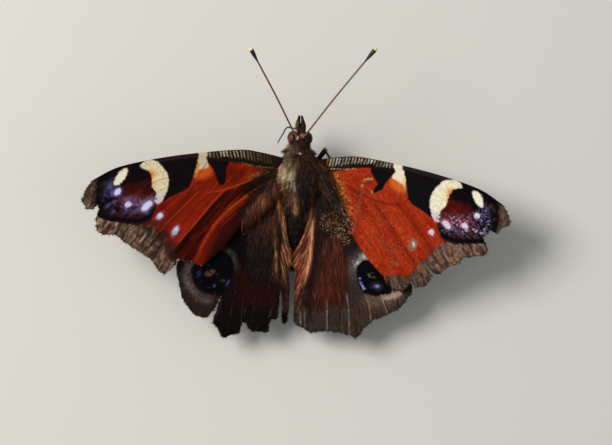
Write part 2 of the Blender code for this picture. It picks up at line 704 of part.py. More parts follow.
def fore_height(x, y, pleats):
    """Height of the fore wing's middle surface: it climbs from the body, levels out, and is arched across."""
    out = x - WING_ROOT_X
    across = FORE_ACROSS[0] * out + FORE_ACROSS[1] * (y - FORE_AXIS_Y)
    height = FORE_ROOT_Z + FORE_CLIMB * out - FORE_LEVELLING * out * out - FORE_ARCH * across * across
    for line, rise in pleats:
        away, place = line_distance(x, y, line)
        height += rise * min(place / PLEAT_ONSET, 1.0) * bump(away, PLEAT_HALF_WIDTH)
    return height


def hind_height(x, y, folds):
    """Height of the hind wing's middle surface, with the fold that stands up beside the abdomen."""
    out = x - WING_ROOT_X
    height = HIND_ROOT_Z + HIND_CLIMB * out - HIND_LEVELLING * out * out
    for line, rise in folds:
        away, place = line_distance(x, y, line)
        height += rise * min(place / HIND_FOLD_ONSET, 1.0) * bump(away, HIND_FOLD_HALF_WIDTH)
    return height


def inside(x, y, outline):
    """True where a point is inside a closed outline."""
    odd = False
    for a, b in zip(outline, [*outline[1:], outline[0]]):
        if (a.y > y) != (b.y > y) and x < a.x + (y - a.y) / (b.y - a.y) * (b.x - a.x):
            odd = not odd
    return odd


def ribbon(line):
    """The two edges of a vein's ridge: its own line moved to each side."""
    sides = ([], [])
    for i, point in enumerate(line):
        along = (line[min(i + 1, len(line) - 1)] - line[max(i - 1, 0)]).normalized()
        across = Vector((-along.y, along.x)) * RIDGE_HALF_WIDTH
        sides[0].append(point + across)
        sides[1].append(point - across)
    return sides


def wing_sheet(outline, veins, extra_lines):
    """The wing in its plane, as points and triangles that keep to its outline, its veins and its folds."""
    points = list(outline)
    edges = [(i, (i + 1) % len(outline)) for i in range(len(outline))]
    lines = []
    for vein in veins:
        lines.extend([vein, *ribbon(vein)])
    lines.extend(extra_lines)
    for line in lines:
        kept = [p for p in line if inside(p.x, p.y, outline)]
        first = len(points)
        points.extend(kept)
        edges.extend((first + i, first + i + 1) for i in range(len(kept) - 1))
    low_x = min(p.x for p in outline)
    low_y = min(p.y for p in outline)
    for row in range(int(-low_y / GRID_STEP) + 3):
        for column in range(GRID_COLUMNS):
            x = low_x + GRID_STEP * (column + 0.5 * (row % 2))
            y = low_y + GRID_STEP * row
            clear = min(line_distance(x, y, line)[0] for line in [*lines, [*outline, outline[0]]])
            if inside(x, y, outline) and clear > GRID_CLEARANCE:
                points.append(Vector((x, y)))
    made = delaunay_2d_cdt(points, edges, [list(range(len(outline)))], 1, MERGE_DISTANCE)
    return made[0], made[2]


def wing_solid(name, outline, veins, extra_lines, height, sign, root):
    """A closed sheet of even thickness under the veins' ridges, its root edge set against the thorax."""
    root_x, root_y = root
    flat, triangles = wing_sheet(outline, veins, extra_lines)
    top, bottom = [], []
    for p in flat:
        middle = height(p.x, p.y)
        lift = 0.0
        for vein in veins:
            away, place = line_distance(p.x, p.y, vein)
            lift = max(lift, RIDGE * (1 - RIDGE_LOSS * place) * max(0.0, 1 - away / RIDGE_HALF_WIDTH))
        for side, z in ((top, middle + MEMBRANE / 2 + lift), (bottom, middle - MEMBRANE / 2)):
            x = thorax_side(p.y, z) + GAP if p.x <= root_x and p.y >= root_y else p.x
            side.append(Vector((sign * x, p.y, z)))
    count = len(flat)
    faces, rim = [], {}
    for a, b, c in triangles:
        faces.append([a, b, c])
        faces.append([c + count, b + count, a + count])
        for edge in ((a, b), (b, c), (c, a)):
            rim[edge] = True
    for a, b in rim:
        if (b, a) not in rim:
            faces.append([b, a, a + count])
            faces.append([b, a + count, b + count])
    if sign < 0:
        faces = [f[::-1] for f in faces]
    return node(name, top + bottom, faces, "wing_red" if name.startswith("wing_fore") else "wing_dark")


def counter_clockwise(outline):
    area = sum(a.x * b.y - b.x * a.y for a, b in zip(outline, [*outline[1:], outline[0]]))
    return outline if area > 0 else outline[::-1]


def wing_outline(leading, worn, trailing):
    """A closed outline from a smooth front edge, a worn outer edge and a smooth rear edge."""
    front = smooth_path(leading, EDGE_STEP)
    rear = smooth_path(trailing, EDGE_STEP)
    return counter_clockwise([*front, *[Vector(p) for p in worn], *rear])


def fore_wing(side, sign):
    outline = wing_outline(FORE_COSTA, FORE_WORN[side], FORE_DORSUM)
    veins = [smooth_path(v, LINE_STEP) for v in FORE_VEINS.values()]
    pleats = []
    if side == "left":
        crest = smooth_path(PLEAT_CREST, LINE_STEP)
        valley = smooth_path(PLEAT_VALLEY, LINE_STEP)
        pleats = [(crest, PLEAT_HEIGHT), (valley, -PLEAT_HEIGHT)]

    def height(x, y):
        return fore_height(x, y, pleats)

    return wing_solid(f"wing_fore_{side}", outline, veins, [], height, sign, FORE_DORSUM[-1])


def hind_wing(side, sign):
    inner = [(max(abdomen_half_width(y) + GAP, HIND_INNER_LEAST), y) for y in HIND_INNER_Y]
    outline = wing_outline(HIND_COSTA, HIND_WORN[side], [*inner, HIND_ROOT_REAR])
    veins = [smooth_path(v, LINE_STEP) for v in HIND_VEINS.values()]
    fold = smooth_path(HIND_FOLD, LINE_STEP)
    folds = [(fold, HIND_FOLD_HEIGHT)]

    def height(x, y):
        return hind_height(x, y, folds)

    root = (HIND_COSTA[0][0], HIND_ROOT_REAR[1])
    return wing_solid(f"wing_hind_{side}", outline, veins, [fold], height, sign, root)


def main():
    clear_scene()
    head()
    thorax()
    abdomen()
    for side, sign in (("left", -1), ("right", 1)):
        eye(side, sign)
        antenna(side)
        palp(side, sign)
        fore_leg(side, sign)
        fore_wing(side, sign)
        hind_wing(side, sign)
    proboscis()
    for name in LEGS:
        leg(name)


main()
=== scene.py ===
"""Life-size peacock butterfly, wings spread: the dressed model over the solids, its floor, lights and camera.

Shapes are worked out in the animal's own frame in millimetres, x to its right, y towards its head and z up
its back, and then set on the floor as the solids are. Wings are drawn for the right side and mirrored.
Colours are written in 256 steps, as a screen shows them.
"""

import math

import bpy
import numpy as np
from mathutils import Matrix, Vector


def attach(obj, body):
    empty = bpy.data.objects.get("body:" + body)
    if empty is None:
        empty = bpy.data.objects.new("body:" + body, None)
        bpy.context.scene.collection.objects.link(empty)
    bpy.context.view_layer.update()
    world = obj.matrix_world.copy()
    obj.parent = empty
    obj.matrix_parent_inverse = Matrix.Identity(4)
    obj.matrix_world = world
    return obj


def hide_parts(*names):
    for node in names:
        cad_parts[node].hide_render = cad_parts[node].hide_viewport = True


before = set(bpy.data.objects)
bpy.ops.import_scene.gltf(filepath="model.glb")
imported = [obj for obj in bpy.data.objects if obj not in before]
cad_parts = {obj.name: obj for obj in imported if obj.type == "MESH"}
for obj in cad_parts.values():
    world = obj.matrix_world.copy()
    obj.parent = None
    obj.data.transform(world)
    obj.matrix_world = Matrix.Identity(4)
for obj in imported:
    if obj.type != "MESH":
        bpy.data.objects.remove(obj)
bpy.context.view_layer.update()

MM = 0.001

# The solids' own named sizes, repeated here
PITCH = math.radians(7.0)
STAND = (0.05, 4.89, 7.0)
HEAD_CENTRE = (-0.2, 3.15, 0.25)
HEAD_RADII = (0.98, 1.25, 1.15)
THORAX_RINGS = (
    (1.62, 0.80, 0.80, 0.15),
    (1.20, 1.40, 1.35, 0.10),
    (0.50, 1.95, 1.90, 0.05),
    (-0.60, 2.35, 2.30, 0.00),
    (-2.00, 2.55, 2.50, 0.00),
    (-3.40, 2.50, 2.50, -0.05),
    (-4.70, 2.15, 2.20, -0.15),
    (-5.70, 1.75, 1.80, -0.35),
    (-6.20, 1.40, 1.40, -0.50),
)
ABDOMEN_START = -6.5
ABDOMEN_END = -14.9
ABDOMEN_START_Z = -0.65
ABDOMEN_WIDEST = 1.62
ABDOMEN_DROP = 0.2
EYE_OFFSET = 0.92
EYE_RADII = (0.85, 0.98, 1.02)
FORE_ROOT_Z = 1.05
HIND_ROOT_Z = 0.25

FUR_SHARE = 1.0
WING_STEP = 0.125

SIDES = (("left", -1), ("right", 1))
dice = np.random.default_rng(5)
jog = dice.standard_normal


def place(points):
    """Points from the animal's frame in millimetres to the row frame in metres."""
    p = np.asarray(points, float).reshape(-1, 3)
    c, s = math.cos(PITCH), math.sin(PITCH)
    turned = np.stack([p[:, 0], c * p[:, 1] - s * p[:, 2], s * p[:, 1] + c * p[:, 2]], 1)
    return (turned + np.array(STAND)) * MM


def to_own_frame(x, y, height):
    """The point over the animal's own x and y that is this high above the floor, in its own frame."""
    c, s = math.cos(PITCH), math.sin(PITCH)
    z = height - STAND[2]
    return np.array([x, c * y + s * z, -s * y + c * z])


def linear(colour):
    """A colour as seen on a screen, made linear."""
    c = np.asarray(colour, float) / 255
    return np.where(c <= 0.04045, c / 12.92, ((c + 0.055) / 1.055) ** 2.4)


def piece(name, points, triangles, material, colours, nodes=(), uv=None):
    """A smooth mesh of triangles that rides with the solids and stands for some of their nodes. Each point
    has a colour and, where it is part of the coat, a place on the bake's map."""
    points = np.asarray(points, float).reshape(-1, 3)
    triangles = np.asarray(triangles, np.int32).reshape(-1, 3)
    mesh = bpy.data.meshes.new(name)
    mesh.vertices.add(len(points))
    mesh.vertices.foreach_set("co", place(points).astype(np.float32).ravel())
    mesh.loops.add(triangles.size)
    mesh.loops.foreach_set("vertex_index", triangles.ravel())
    mesh.polygons.add(len(triangles))
    mesh.polygons.foreach_set("loop_start", np.arange(0, triangles.size, 3, dtype=np.int32))
    mesh.update(calc_edges=True)
    rgba = np.ones((len(points), 4), np.float32)
    rgba[:, :3] = linear(np.clip(colours, 0, 255))
    mesh.color_attributes.new("Col", "FLOAT_COLOR", "POINT").data.foreach_set("color", rgba.ravel())
    if uv is not None:
        layer = mesh.uv_layers.new(name="OFBake")
        layer.data.foreach_set("uv", np.asarray(uv, np.float32)[triangles.ravel()].ravel())
    mesh.materials.append(material)
    mesh.shade_smooth()
    made = bpy.data.objects.new(name, mesh)
    bpy.context.scene.collection.objects.link(made)
    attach(made, "root")
    if nodes:
        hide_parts(*nodes)


def coated(name, roughness, specular, grain=0.0, grain_size=0.1, cells=False, colour=None):
    """A material whose colour is the mesh's own, or one colour, with a fine grain or cells raised in it."""
    made = bpy.data.materials.new(name)
    made.use_nodes = True
    tree = made.node_tree
    shader = tree.nodes["Principled BSDF"]
    shader.inputs["Roughness"].default_value = roughness
    shader.inputs["Specular IOR Level"].default_value = specular
    if colour is None:
        attribute = tree.nodes.new("ShaderNodeAttribute")
        attribute.attribute_name = "Col"
        tree.links.new(attribute.outputs["Color"], shader.inputs["Base Color"])
    else:
        shader.inputs["Base Color"].default_value = (*linear(colour), 1)
    if grain:
        where = tree.nodes.new("ShaderNodeTexCoord")
        texture = tree.nodes.new("ShaderNodeTexVoronoi" if cells else "ShaderNodeTexNoise")
        if not cells:
            texture.inputs["Detail"].default_value = 3
        texture.inputs["Scale"].default_value = 1 / (grain_size * MM)
        tree.links.new(where.outputs["Object"], texture.inputs["Vector"])
        bump = tree.nodes.new("ShaderNodeBump")
        bump.inputs["Strength"].default_value = 0.6
        bump.inputs["Distance"].default_value = grain * MM
        tree.links.new(texture.outputs["Distance" if cells else "Fac"], bump.inputs["Height"])
        tree.links.new(bump.outputs["Normal"], shader.inputs["Normal"])
    return made


wing_scales = coated("wing_scales", 0.8, 0.02, grain=0.03, grain_size=0.09)
fur = coated("fur_tufts", 0.55, 0.2)
body_matter = coated("skin_fur", 0.85, 0.15, grain=0.05, grain_size=0.12)
eye_matter = coated("eye_facets", 0.32, 0.12, grain=0.012, grain_size=0.055, cells=True)
chitin = coated("chitin", 0.4, 0.45)


# Noise, curves and masks
def lattice(i, j, seed):
    """A random value from 0 to 1 for each whole place."""
    h = np.sin(i * 127.1 + j * 311.7 + seed * 74.7) * 43758.5453
    return h - np.floor(h)


def between(u, v, seed):
    """The lattice's values, blended smoothly between whole places."""
    i, j = np.floor(u), np.floor(v)
    u, v = u - i, v - j
    u, v = u * u * (3 - 2 * u), v * v * (3 - 2 * v)
    low = lattice(i, j, seed) * (1 - u) + lattice(i + 1, j, seed) * u
    high = lattice(i, j + 1, seed) * (1 - u) + lattice(i + 1, j + 1, seed) * u
    return low * (1 - v) + high * v


def noise(x, y, size, seed):
    """Smooth noise from 0 to 1 with features of this size."""
    turn = 0.6 + seed
    cos, sin = math.cos(turn), math.sin(turn)
    return between((x * cos - y * sin) / size, (x * sin + y * cos) / size, seed)


def streaks(x, y, turn, width, length, seed):
    """Noise drawn out along a direction, turn degrees clockwise from the x axis."""
    cos, sin = math.cos(math.radians(turn)), math.sin(math.radians(turn))
    return between((x * sin + y * cos) / width, (x * cos - y * sin) / length, seed)


def rough(x, y, size, seed):
    """Noise summed over three sizes, from 0 to 1."""
    layers = ((1, 0), (2, 7), (4, 13))
    return sum(noise(x, y, size / part, seed + more) / part for part, more in layers) / 1.75


def ramp(low, high, value):
    """0 below low, 1 above high and smooth between, or the other way round where low is greater."""
    t = np.clip((value - low) / (high - low), 0, 1)
    return t * t * (3 - 2 * t)


def product(*parts):
    """A mask from its factors. Three values in brackets are a ramp."""
    mask = 1.0
    for part in parts:
        mask = mask * (ramp(*part) if isinstance(part, tuple) else part)
    return mask


def lay(base, colour, *mask):
    """A colour laid over another one as far as the mask's factors let it."""
    m = np.clip(product(*mask), 0, 1)[..., None]
    return base * (1 - m) + np.asarray(colour) * m


def stretch(a, b, c, d, steps):
    """Points of a Catmull-Rom curve from b to just before c."""
    places = [k / steps for k in range(steps)]
    square, cube = 2 * a - 5 * b + 4 * c - d, 3 * b - a - 3 * c + d
    return [0.5 * (2 * b + (c - a) * t + square * t**2 + cube * t**3) for t in places]


def curve(points, steps=6):
    """Points on a smooth curve through the given ones."""
    p = np.array(points, float)
    p = [2 * p[0] - p[1], *p, 2 * p[-1] - p[-2]]
    runs = [stretch(*four, steps) for four in zip(p, p[1:], p[2:], p[3:])]
    return np.array([point for run in runs for point in run] + [p[-2]])


def loop(points, steps=5):
    """A smooth closed curve through the given points."""
    p = np.array(points, float)
    fours = zip(np.roll(p, 1, axis=0), p, np.roll(p, -1, axis=0), np.roll(p, -2, axis=0))
    return np.array([point for four in fours for point in stretch(*four, steps)])


def to_line(x, y, line):
    """Distance to a line of points, the place along it from 0 to 1, and its side, 1 for its left."""
    best = np.full(x.shape, 1e9)
    along = np.zeros(x.shape)
    side = np.ones(x.shape)
    count = len(line) - 1
    for i in range(count):
        (ax, ay), (bx, by) = line[i], line[i + 1]
        dx, dy = bx - ax, by - ay
        t = np.clip(((x - ax) * dx + (y - ay) * dy) / (dx * dx + dy * dy + 1e-12), 0, 1)
        ex, ey = x - ax - t * dx, y - ay - t * dy
        away = np.hypot(ex, ey)
        near = away < best
        best = np.where(near, away, best)
        along = np.where(near, (i + t) / count, along)
        side = np.where(near, np.sign(dx * ey - dy * ex + 1e-12), side)
    return best, along, side


def away_from(x, y, points):
    """Distance to a smooth line through the given points."""
    return to_line(x, y, curve(points))[0]


def in_shape(x, y, shape):
    """Whether points are inside an outline."""
    odd = np.zeros(x.shape, bool)
    for (ax, ay), (bx, by) in zip(shape, np.roll(shape, -1, axis=0)):
        if ay != by:
            odd ^= ((ay > y) != (by > y)) & (x < ax + (y - ay) / (by - ay) * (bx - ax))
    return odd


def depth(x, y, points):
    """How far inside a smooth shape a point is, negative outside."""
    shape = loop(points)
    away = to_line(x, y, np.vstack([shape, shape[:1]]))[0]
    return np.where(in_shape(x, y, shape), away, -away)


def ellipse(x, y, cx, cy, a, b, turn):
    """Level of an ellipse, 1 at its centre and 0 at its edge, negative outside."""
    t = math.radians(turn)
    dx, dy = x - cx, y - cy
    u = dx * math.cos(t) + dy * math.sin(t)
    v = -dx * math.sin(t) + dy * math.cos(t)
    return 1 - np.hypot(u / a, v / b)


def spot(x, y, cx, cy, rx, ry):
    """1 at a place and falling softly to 0 around it."""
    return np.exp(-(((x - cx) / rx) ** 2 + ((y - cy) / ry) ** 2))


# Wings: edges, veins and folds in wing millimetres
FORE_COSTA = (
    (1.8, 0.1), (2.5, 0.3), (5.6, 0.85), (8.4, 1.03), (14.0, 0.25), (19.6, -0.85), (25.2, -2.45),
    (28.45, -4.3),
)
FORE_DORSUM = ((12.75, -15.6), (9.9, -12.7), (7.15, -8.8), (4.4, -5.2), (2.7, -2.6), (1.7, -2.4))
HIND_COSTA = (
    (1.6, -2.7), (2.5, -2.75), (6.0, -3.4), (9.6, -5.2), (13.0, -8.6), (15.6, -12.6), (16.45, -16.0),
)
HIND_INNER_Y = (-16.2, -14.6, -13.0, -11.2, -9.4, -7.6, -6.3)
HIND_ROOT_REAR = ((2.2, -5.7), (1.2, -5.4))
FORE_WORN = {
    "right": (
        (28.8, -4.6), (29.35, -5.4), (29.75, -6.2), (30.0, -6.9), (29.5, -7.4), (28.6, -7.8), (28.15, -8.6),
        (27.2, -8.2), (26.25, -9.2), (26.95, -10.9), (26.75, -11.65), (24.9, -11.95), (23.45, -12.3),
        (23.2, -13.0), (21.5, -13.6), (20.5, -14.75), (19.8, -14.75), (17.9, -13.0), (19.45, -15.1),
        (18.55, -16.6), (17.2, -16.75), (16.5, -15.9), (15.8, -17.0), (15.0, -17.35), (13.9, -16.95),
        (12.75, -15.9),
    ),
    "left": (
        (28.8, -4.6), (29.3, -5.3), (29.75, -6.2), (30.1, -7.5), (29.3, -8.7), (28.5, -8.55), (27.8, -8.0),
        (27.65, -8.6), (28.0, -10.0), (27.75, -11.6), (26.7, -12.1), (25.1, -11.95), (23.6, -13.0),
        (22.0, -13.85), (20.4, -14.9), (19.6, -15.4), (19.0, -16.5), (17.9, -17.1), (16.7, -15.8),
        (15.9, -14.95), (14.5, -15.1), (13.5, -15.6), (12.9, -15.55),
    ),
}
HIND_WORN = {
    "right": (
        (16.85, -16.7), (16.75, -17.6), (15.9, -19.0), (14.95, -20.05), (13.6, -20.85), (11.85, -21.65),
        (10.65, -22.7), (9.9, -23.85), (9.2, -24.5), (8.5, -24.1), (7.1, -23.75), (5.7, -23.7), (4.3, -23.7),
        (2.9, -24.05), (2.0, -23.55), (1.0, -23.1), (0.45, -22.5), (0.6, -21.0), (0.9, -19.0), (0.85, -17.4),
    ),
    "left": (
        (16.3, -16.8), (16.0, -18.0), (15.45, -20.1), (14.1, -21.85), (13.3, -22.6), (11.7, -22.95),
        (10.9, -21.7), (9.9, -19.7), (10.55, -22.0), (11.0, -23.5), (10.3, -24.1), (9.3, -25.55),
        (8.3, -25.1), (7.05, -24.7), (6.65, -23.2), (6.2, -23.1), (5.8, -24.0), (5.2, -24.4), (3.05, -24.3),
        (2.75, -22.4), (2.0, -22.5), (1.75, -22.2), (1.62, -18.4), (1.35, -18.4), (1.2, -23.0), (0.75, -23.2),
        (0.35, -22.6), (0.4, -19.6), (0.7, -16.9),
    ),
}
V_CUBITUS = [(3.4, -1.5), (5.7, -2.6), (8.3, -3.9), (10.5, -4.8), (12.6, -5.3), (14.0, -5.3)]
V_M3 = [(13.9, -5.3), (15.6, -7.2), (17.8, -9.7), (19.4, -11.9), (21.3, -14.4)]
V_CU1 = [(10.4, -5.0), (11.9, -6.7), (13.3, -8.6), (14.8, -10.6), (16.7, -13.1), (18.6, -16.0)]
V_CU2 = [(8.2, -4.0), (10.2, -6.9), (12.4, -10.2), (14.3, -13.0), (15.6, -15.0)]
V_ANAL = [
    (3.9, -3.2), (5.4, -4.1), (6.9, -5.2), (8.3, -6.4), (9.8, -7.9), (11.1, -9.4), (12.2, -11.3),
    (13.0, -12.9), (13.8, -14.8),
]
FORE_VEINS = (
    ((3.2, 0.05), (8.4, 0.5), (14.0, -0.25), (19.6, -1.4), (25.2, -3.1), (28.4, -5.2)),
    ((3.2, -0.75), (6.5, -0.9), (9.5, -0.75), (13.0, -1.0), (19.0, -2.6), (25.0, -4.9), (28.6, -7.0)),
    V_CUBITUS,
    V_M3,
    V_CU1,
    V_CU2,
    V_ANAL,
    ((13.3, -1.3), (14.2, -3.0), (14.0, -5.3)),
    ((14.2, -3.2), (17.5, -4.2), (20.2, -6.0), (22.6, -8.6), (25.0, -11.6)),
    ((14.2, -2.6), (19.0, -3.6), (22.2, -5.7), (24.9, -8.9), (27.0, -11.0)),
)
HIND_VEINS = (
    ((3.2, -3.1), (6.3, -4.3), (9.6, -6.5), (12.7, -10.0), (14.9, -13.9), (15.8, -16.9)),
    ((3.2, -3.7), (7.0, -6.6), (10.8, -11.2), (13.4, -15.6), (14.9, -19.3)),
    ((7.4, -7.5), (9.9, -12.0), (12.2, -16.8), (13.5, -20.9)),
    ((6.3, -8.0), (8.7, -12.8), (10.4, -18.2), (11.2, -21.9)),
    ((3.4, -4.4), (5.4, -8.2), (6.9, -13.0), (7.7, -18.2), (8.45, -23.8)),
    ((4.5, -7.2), (5.0, -12.6), (5.0, -18.5), (5.25, -23.5)),
    ((3.0, -5.2), (3.4, -9.0), (3.3, -16.0), (2.1, -23.4)),
)
HIND_FOLD = ((2.5, -6.2), (2.6, -9.0), (2.3, -14.0), (1.8, -20.0), (1.6, -22.4))
PLEAT_CREST = ((3.6, -1.7), (8.2, -4.7), (12.6, -8.9), (17.6, -14.4))
PLEAT_VALLEY = ((3.6, -2.6), (7.2, -6.4), (10.4, -10.4), (14.1, -15.0))
WING_HALF = 0.12
VEIN_HEIGHT = 0.13
VEIN_HALF_WIDTH = 0.24
EDGE_THIN = (0.3, 0.55, 0.75, 0.9)
RAGGED = 0.2
THREAD = 0.16
# Each side's upper colours are scaled by this, as painted light: it sets the balance of light and shade
# between the two sides
LIT = {"left": 1.0, "right": 0.97}

# The pattern's shapes, lines and spots on the fore wings
FORE_MARKS = {
    "left": {
        "cell_spot": (
            (10.2, -0.4), (12.85, -0.4), (12.5, -1.0), (12.0, -1.9), (11.4, -3.1), (10.95, -3.95),
            (10.45, -3.8), (10.35, -3.0), (10.3, -1.8),
        ),
        "bar": ((12.7, 0.35), (14.35, 0.3), (14.3, -0.9), (14.15, -2.1), (12.75, -1.7), (12.9, -0.8)),
        "bar_low": ((12.5, -1.5), (14.2, -1.7), (14.6, -3.2), (13.6, -3.4), (12.3, -2.6)),
        "patch": (
            (14.4, 0.3), (17.0, 0.1), (21.5, -1.0), (20.6, -1.7), (19.4, -2.6), (18.9, -3.6), (18.8, -5.0),
            (18.9, -6.6), (18.3, -6.6), (17.0, -5.7), (15.6, -4.9), (14.9, -3.6), (14.55, -1.8),
        ),
        "crescent": (
            (20.9, -1.15), (19.6, -1.6), (18.6, -2.7), (18.1, -4.0), (18.3, -5.4), (18.9, -6.8), (19.9, -7.6),
            (20.1, -6.8), (19.8, -5.8), (20.4, -5.0), (20.6, -3.9), (20.9, -3.0), (21.8, -2.5), (22.3, -2.2),
            (21.9, -1.6),
        ),
        "cream_spot": (
            (23.9, -2.6), (24.6, -2.7), (25.3, -3.4), (25.8, -4.4), (25.7, -5.0), (25.0, -4.9), (24.2, -4.0),
        ),
        "margin": (
            (28.4, -4.9), (28.0, -6.2), (28.0, -7.6), (27.8, -9.4), (25.5, -10.1), (22.5, -10.35),
            (20.8, -10.5), (19.4, -11.6), (18.2, -12.2), (17.4, -13.6), (16.6, -15.3), (15.8, -16.6),
        ),
        "spots": (
            (21.0, -7.7, 1.05, 0.52, -50), (23.6, -7.65, 0.5, 0.36, -40), (25.15, -5.9, 0.62, 0.42, -55),
            (19.15, -9.0, 0.62, 0.36, -50), (16.85, -10.9, 0.72, 0.36, -62),
        ),
        "down": ((14.3, -1.6), (14.5, -2.5), (14.9, -3.5)),
        "behind_strip": ((3.6, -1.25), (5.3, -1.2), (7.0, -1.05), (8.5, -0.75)),
        "reach": ((3.5, 4.3, 8.6, 10.7, 12.8), (2.4, 2.35, 1.85, 1.5, 1.25)),
    },
    "right": {
        "cell_spot": (
            (10.2, -0.35), (13.1, -0.3), (13.2, -1.0), (12.4, -2.1), (11.7, -3.3), (10.7, -3.9), (10.6, -3.4),
            (11.0, -2.6), (10.4, -1.6),
        ),
        "bar": (
            (13.1, 0.4), (14.7, 0.35), (14.85, -1.0), (14.9, -3.1), (14.3, -2.9), (13.9, -2.1), (13.15, -1.7),
            (13.2, -0.8),
        ),
        "bar_low": ((12.9, -1.6), (14.2, -2.2), (14.9, -3.4), (14.0, -3.5), (12.8, -2.6)),
        "patch": (
            (14.75, 0.3), (17.5, 0.0), (22.0, -1.1), (21.2, -1.8), (19.9, -2.7), (19.3, -3.6), (19.2, -5.0),
            (19.3, -6.9), (18.6, -6.7), (17.2, -5.7), (15.9, -5.0), (15.3, -3.8), (14.95, -1.8),
        ),
        "crescent": (
            (21.6, -1.35), (20.2, -1.7), (19.2, -2.7), (18.6, -4.0), (18.5, -5.4), (19.0, -6.8), (19.7, -7.6),
            (20.1, -7.0), (20.1, -6.0), (20.8, -5.0), (21.1, -3.9), (21.5, -3.0), (22.3, -2.55), (22.9, -2.5),
            (22.6, -1.8),
        ),
        "cream_spot": (
            (24.3, -2.8), (25.1, -2.9), (25.7, -3.5), (26.0, -4.4), (25.8, -5.0), (25.1, -4.7), (24.5, -3.8),
        ),
        "margin": (
            (28.6, -5.4), (28.2, -6.8), (27.6, -8.4), (27.2, -9.6), (25.5, -10.0), (22.5, -10.2),
            (21.2, -10.2), (20.2, -11.1), (19.3, -12.2), (17.6, -13.2), (16.8, -14.5), (16.0, -15.3),
            (13.0, -15.8),
        ),
        "spots": (
            (21.0, -7.75, 0.75, 0.45, -45), (23.6, -7.75, 0.5, 0.4, -40), (25.15, -6.2, 0.5, 0.42, -55),
            (19.0, -8.9, 0.45, 0.38, -50),
        ),
        "down": ((14.75, -1.8), (14.95, -2.8), (15.15, -3.7)),
        "behind_strip": ((3.6, -0.92), (5.4, -0.86), (7.0, -0.78), (8.4, -0.5)),
        "reach": ((3.5, 6.5, 9.7, 12.8), (2.1, 1.85, 1.35, 1.2)),
    },
}
EYE_MARK = (
    (20.3, -1.4), (22.6, -1.3), (25.5, -2.2), (27.9, -3.9), (28.3, -6.2), (28.0, -10.0), (25.5, -10.6),
    (22.6, -10.7), (21.2, -10.3), (20.2, -9.2), (19.6, -7.4), (19.5, -5.0), (20.0, -3.0),
)
EYE_HEART = (
    (20.6, -3.4), (21.4, -4.0), (23.2, -4.5), (24.4, -5.0), (24.2, -6.3), (22.8, -6.6), (21.0, -6.6),
    (20.0, -6.2),
)
EYE_REAR = (
    (19.8, -6.4), (21.5, -6.2), (23.5, -6.2), (25.0, -5.6), (26.3, -4.6), (27.0, -5.6), (27.2, -7.6),
    (26.2, -9.1), (24.0, -9.3), (21.8, -9.2), (20.4, -8.6),
)
EYE_VEINS = (
    ((18.8, -4.9), (20.4, -6.2), (22.0, -7.9), (23.6, -9.7)), ((21.6, -5.2), (23.1, -6.9), (24.9, -9.2)),
)
EYE_RIM = (
    (20.6, -9.35), (22.3, -9.85), (24.5, -9.85), (26.6, -9.6), (27.6, -9.0), (27.9, -7.4), (28.0, -5.4),
    (27.5, -4.2),
)
LEFT_GOLD = ((3.2, -1.4), (4.6, -1.8), (6.2, -2.4), (8.2, -3.3))
RIGHT_GOLD = ((4.3, -0.9), (4.9, -1.9), (5.7, -3.6), (6.5, -5.3), (7.4, -7.0), (7.6, -8.4), (7.3, -10.5))
# Wear on the right fore wing, with each scratch's width and strength
WEAR_ARC = ((10.3, -1.9), (9.6, -2.05), (9.1, -2.4), (8.95, -3.1))
SCRATCHES = (
    (((9.0, -3.3), (8.7, -5.2), (8.4, -7.2), (8.05, -9.2)), 0.22, 0.7),
    (((6.0, -7.5), (7.2, -8.0), (7.9, -8.3)), 0.16, 0.5),
    (((12.1, -10.5), (13.2, -11.3), (14.3, -12.2)), 0.2, 0.7),
    (((13.7, -14.0), (14.4, -13.4), (14.9, -13.0)), 0.22, 0.65),
    (((10.1, -4.7), (10.9, -6.2), (11.5, -7.0)), 0.14, 0.45),
    (((9.9, -9.4), (10.8, -10.9)), 0.16, 0.4),
    (((17.9, -13.2), (18.6, -14.0), (19.2, -14.6)), 0.12, 0.6),
)
RUBBED = ((16.4, -9.8), (17.1, -10.6), (16.9, -11.3), (16.4, -11.7), (15.8, -11.0))
FLECKED = ((4, -3), (10, -4.6), (14, -5.6), (18, -8.8), (20, -12), (17, -13), (12, -15), (8, -10))
# The hind wings' pattern
HIND_MAROON = {
    "left": ((2.4, -15), (7.5, -15), (8.0, -18), (6.5, -21), (3.0, -21.5)),
    "right": ((4.0, -10.5), (6.5, -10.5), (7.6, -13), (7.6, -18), (6.4, -20.2), (4.2, -20.8), (3.6, -16)),
}
HIND_BLACK = {
    "left": ((6.0, -8.5), (8.6, -9.5), (9.6, -12.5), (8.6, -13.6), (7.2, -15.5), (6.2, -13.0)),
    "right": ((7.2, -10.4), (8.4, -11.0), (9.4, -12.3), (8.2, -12.8), (7.2, -12.6)),
}
HIND_EYES = {
    "left": (
        (8.7, -14.4), (10.2, -13.3), (12.0, -14.0), (13.9, -15.4), (14.2, -16.8), (13.4, -18.6),
        (11.6, -19.5), (9.8, -19.2), (8.8, -18.0), (8.4, -16.0),
    ),
    "right": (
        (9.0, -14.3), (10.2, -13.4), (12.0, -14.6), (14.2, -16.6), (14.2, -17.3), (13.2, -17.95),
        (11.4, -18.35), (10.0, -17.9), (9.2, -16.8), (8.95, -15.5),
    ),
}
HIND_RINGS = {
    "left": ((10.2, -12.9), (9.0, -13.5), (8.2, -15.0), (7.9, -16.4)),
    "right": ((10.4, -12.6), (9.5, -13.1), (9.0, -14.0), (8.8, -15.3)),
}
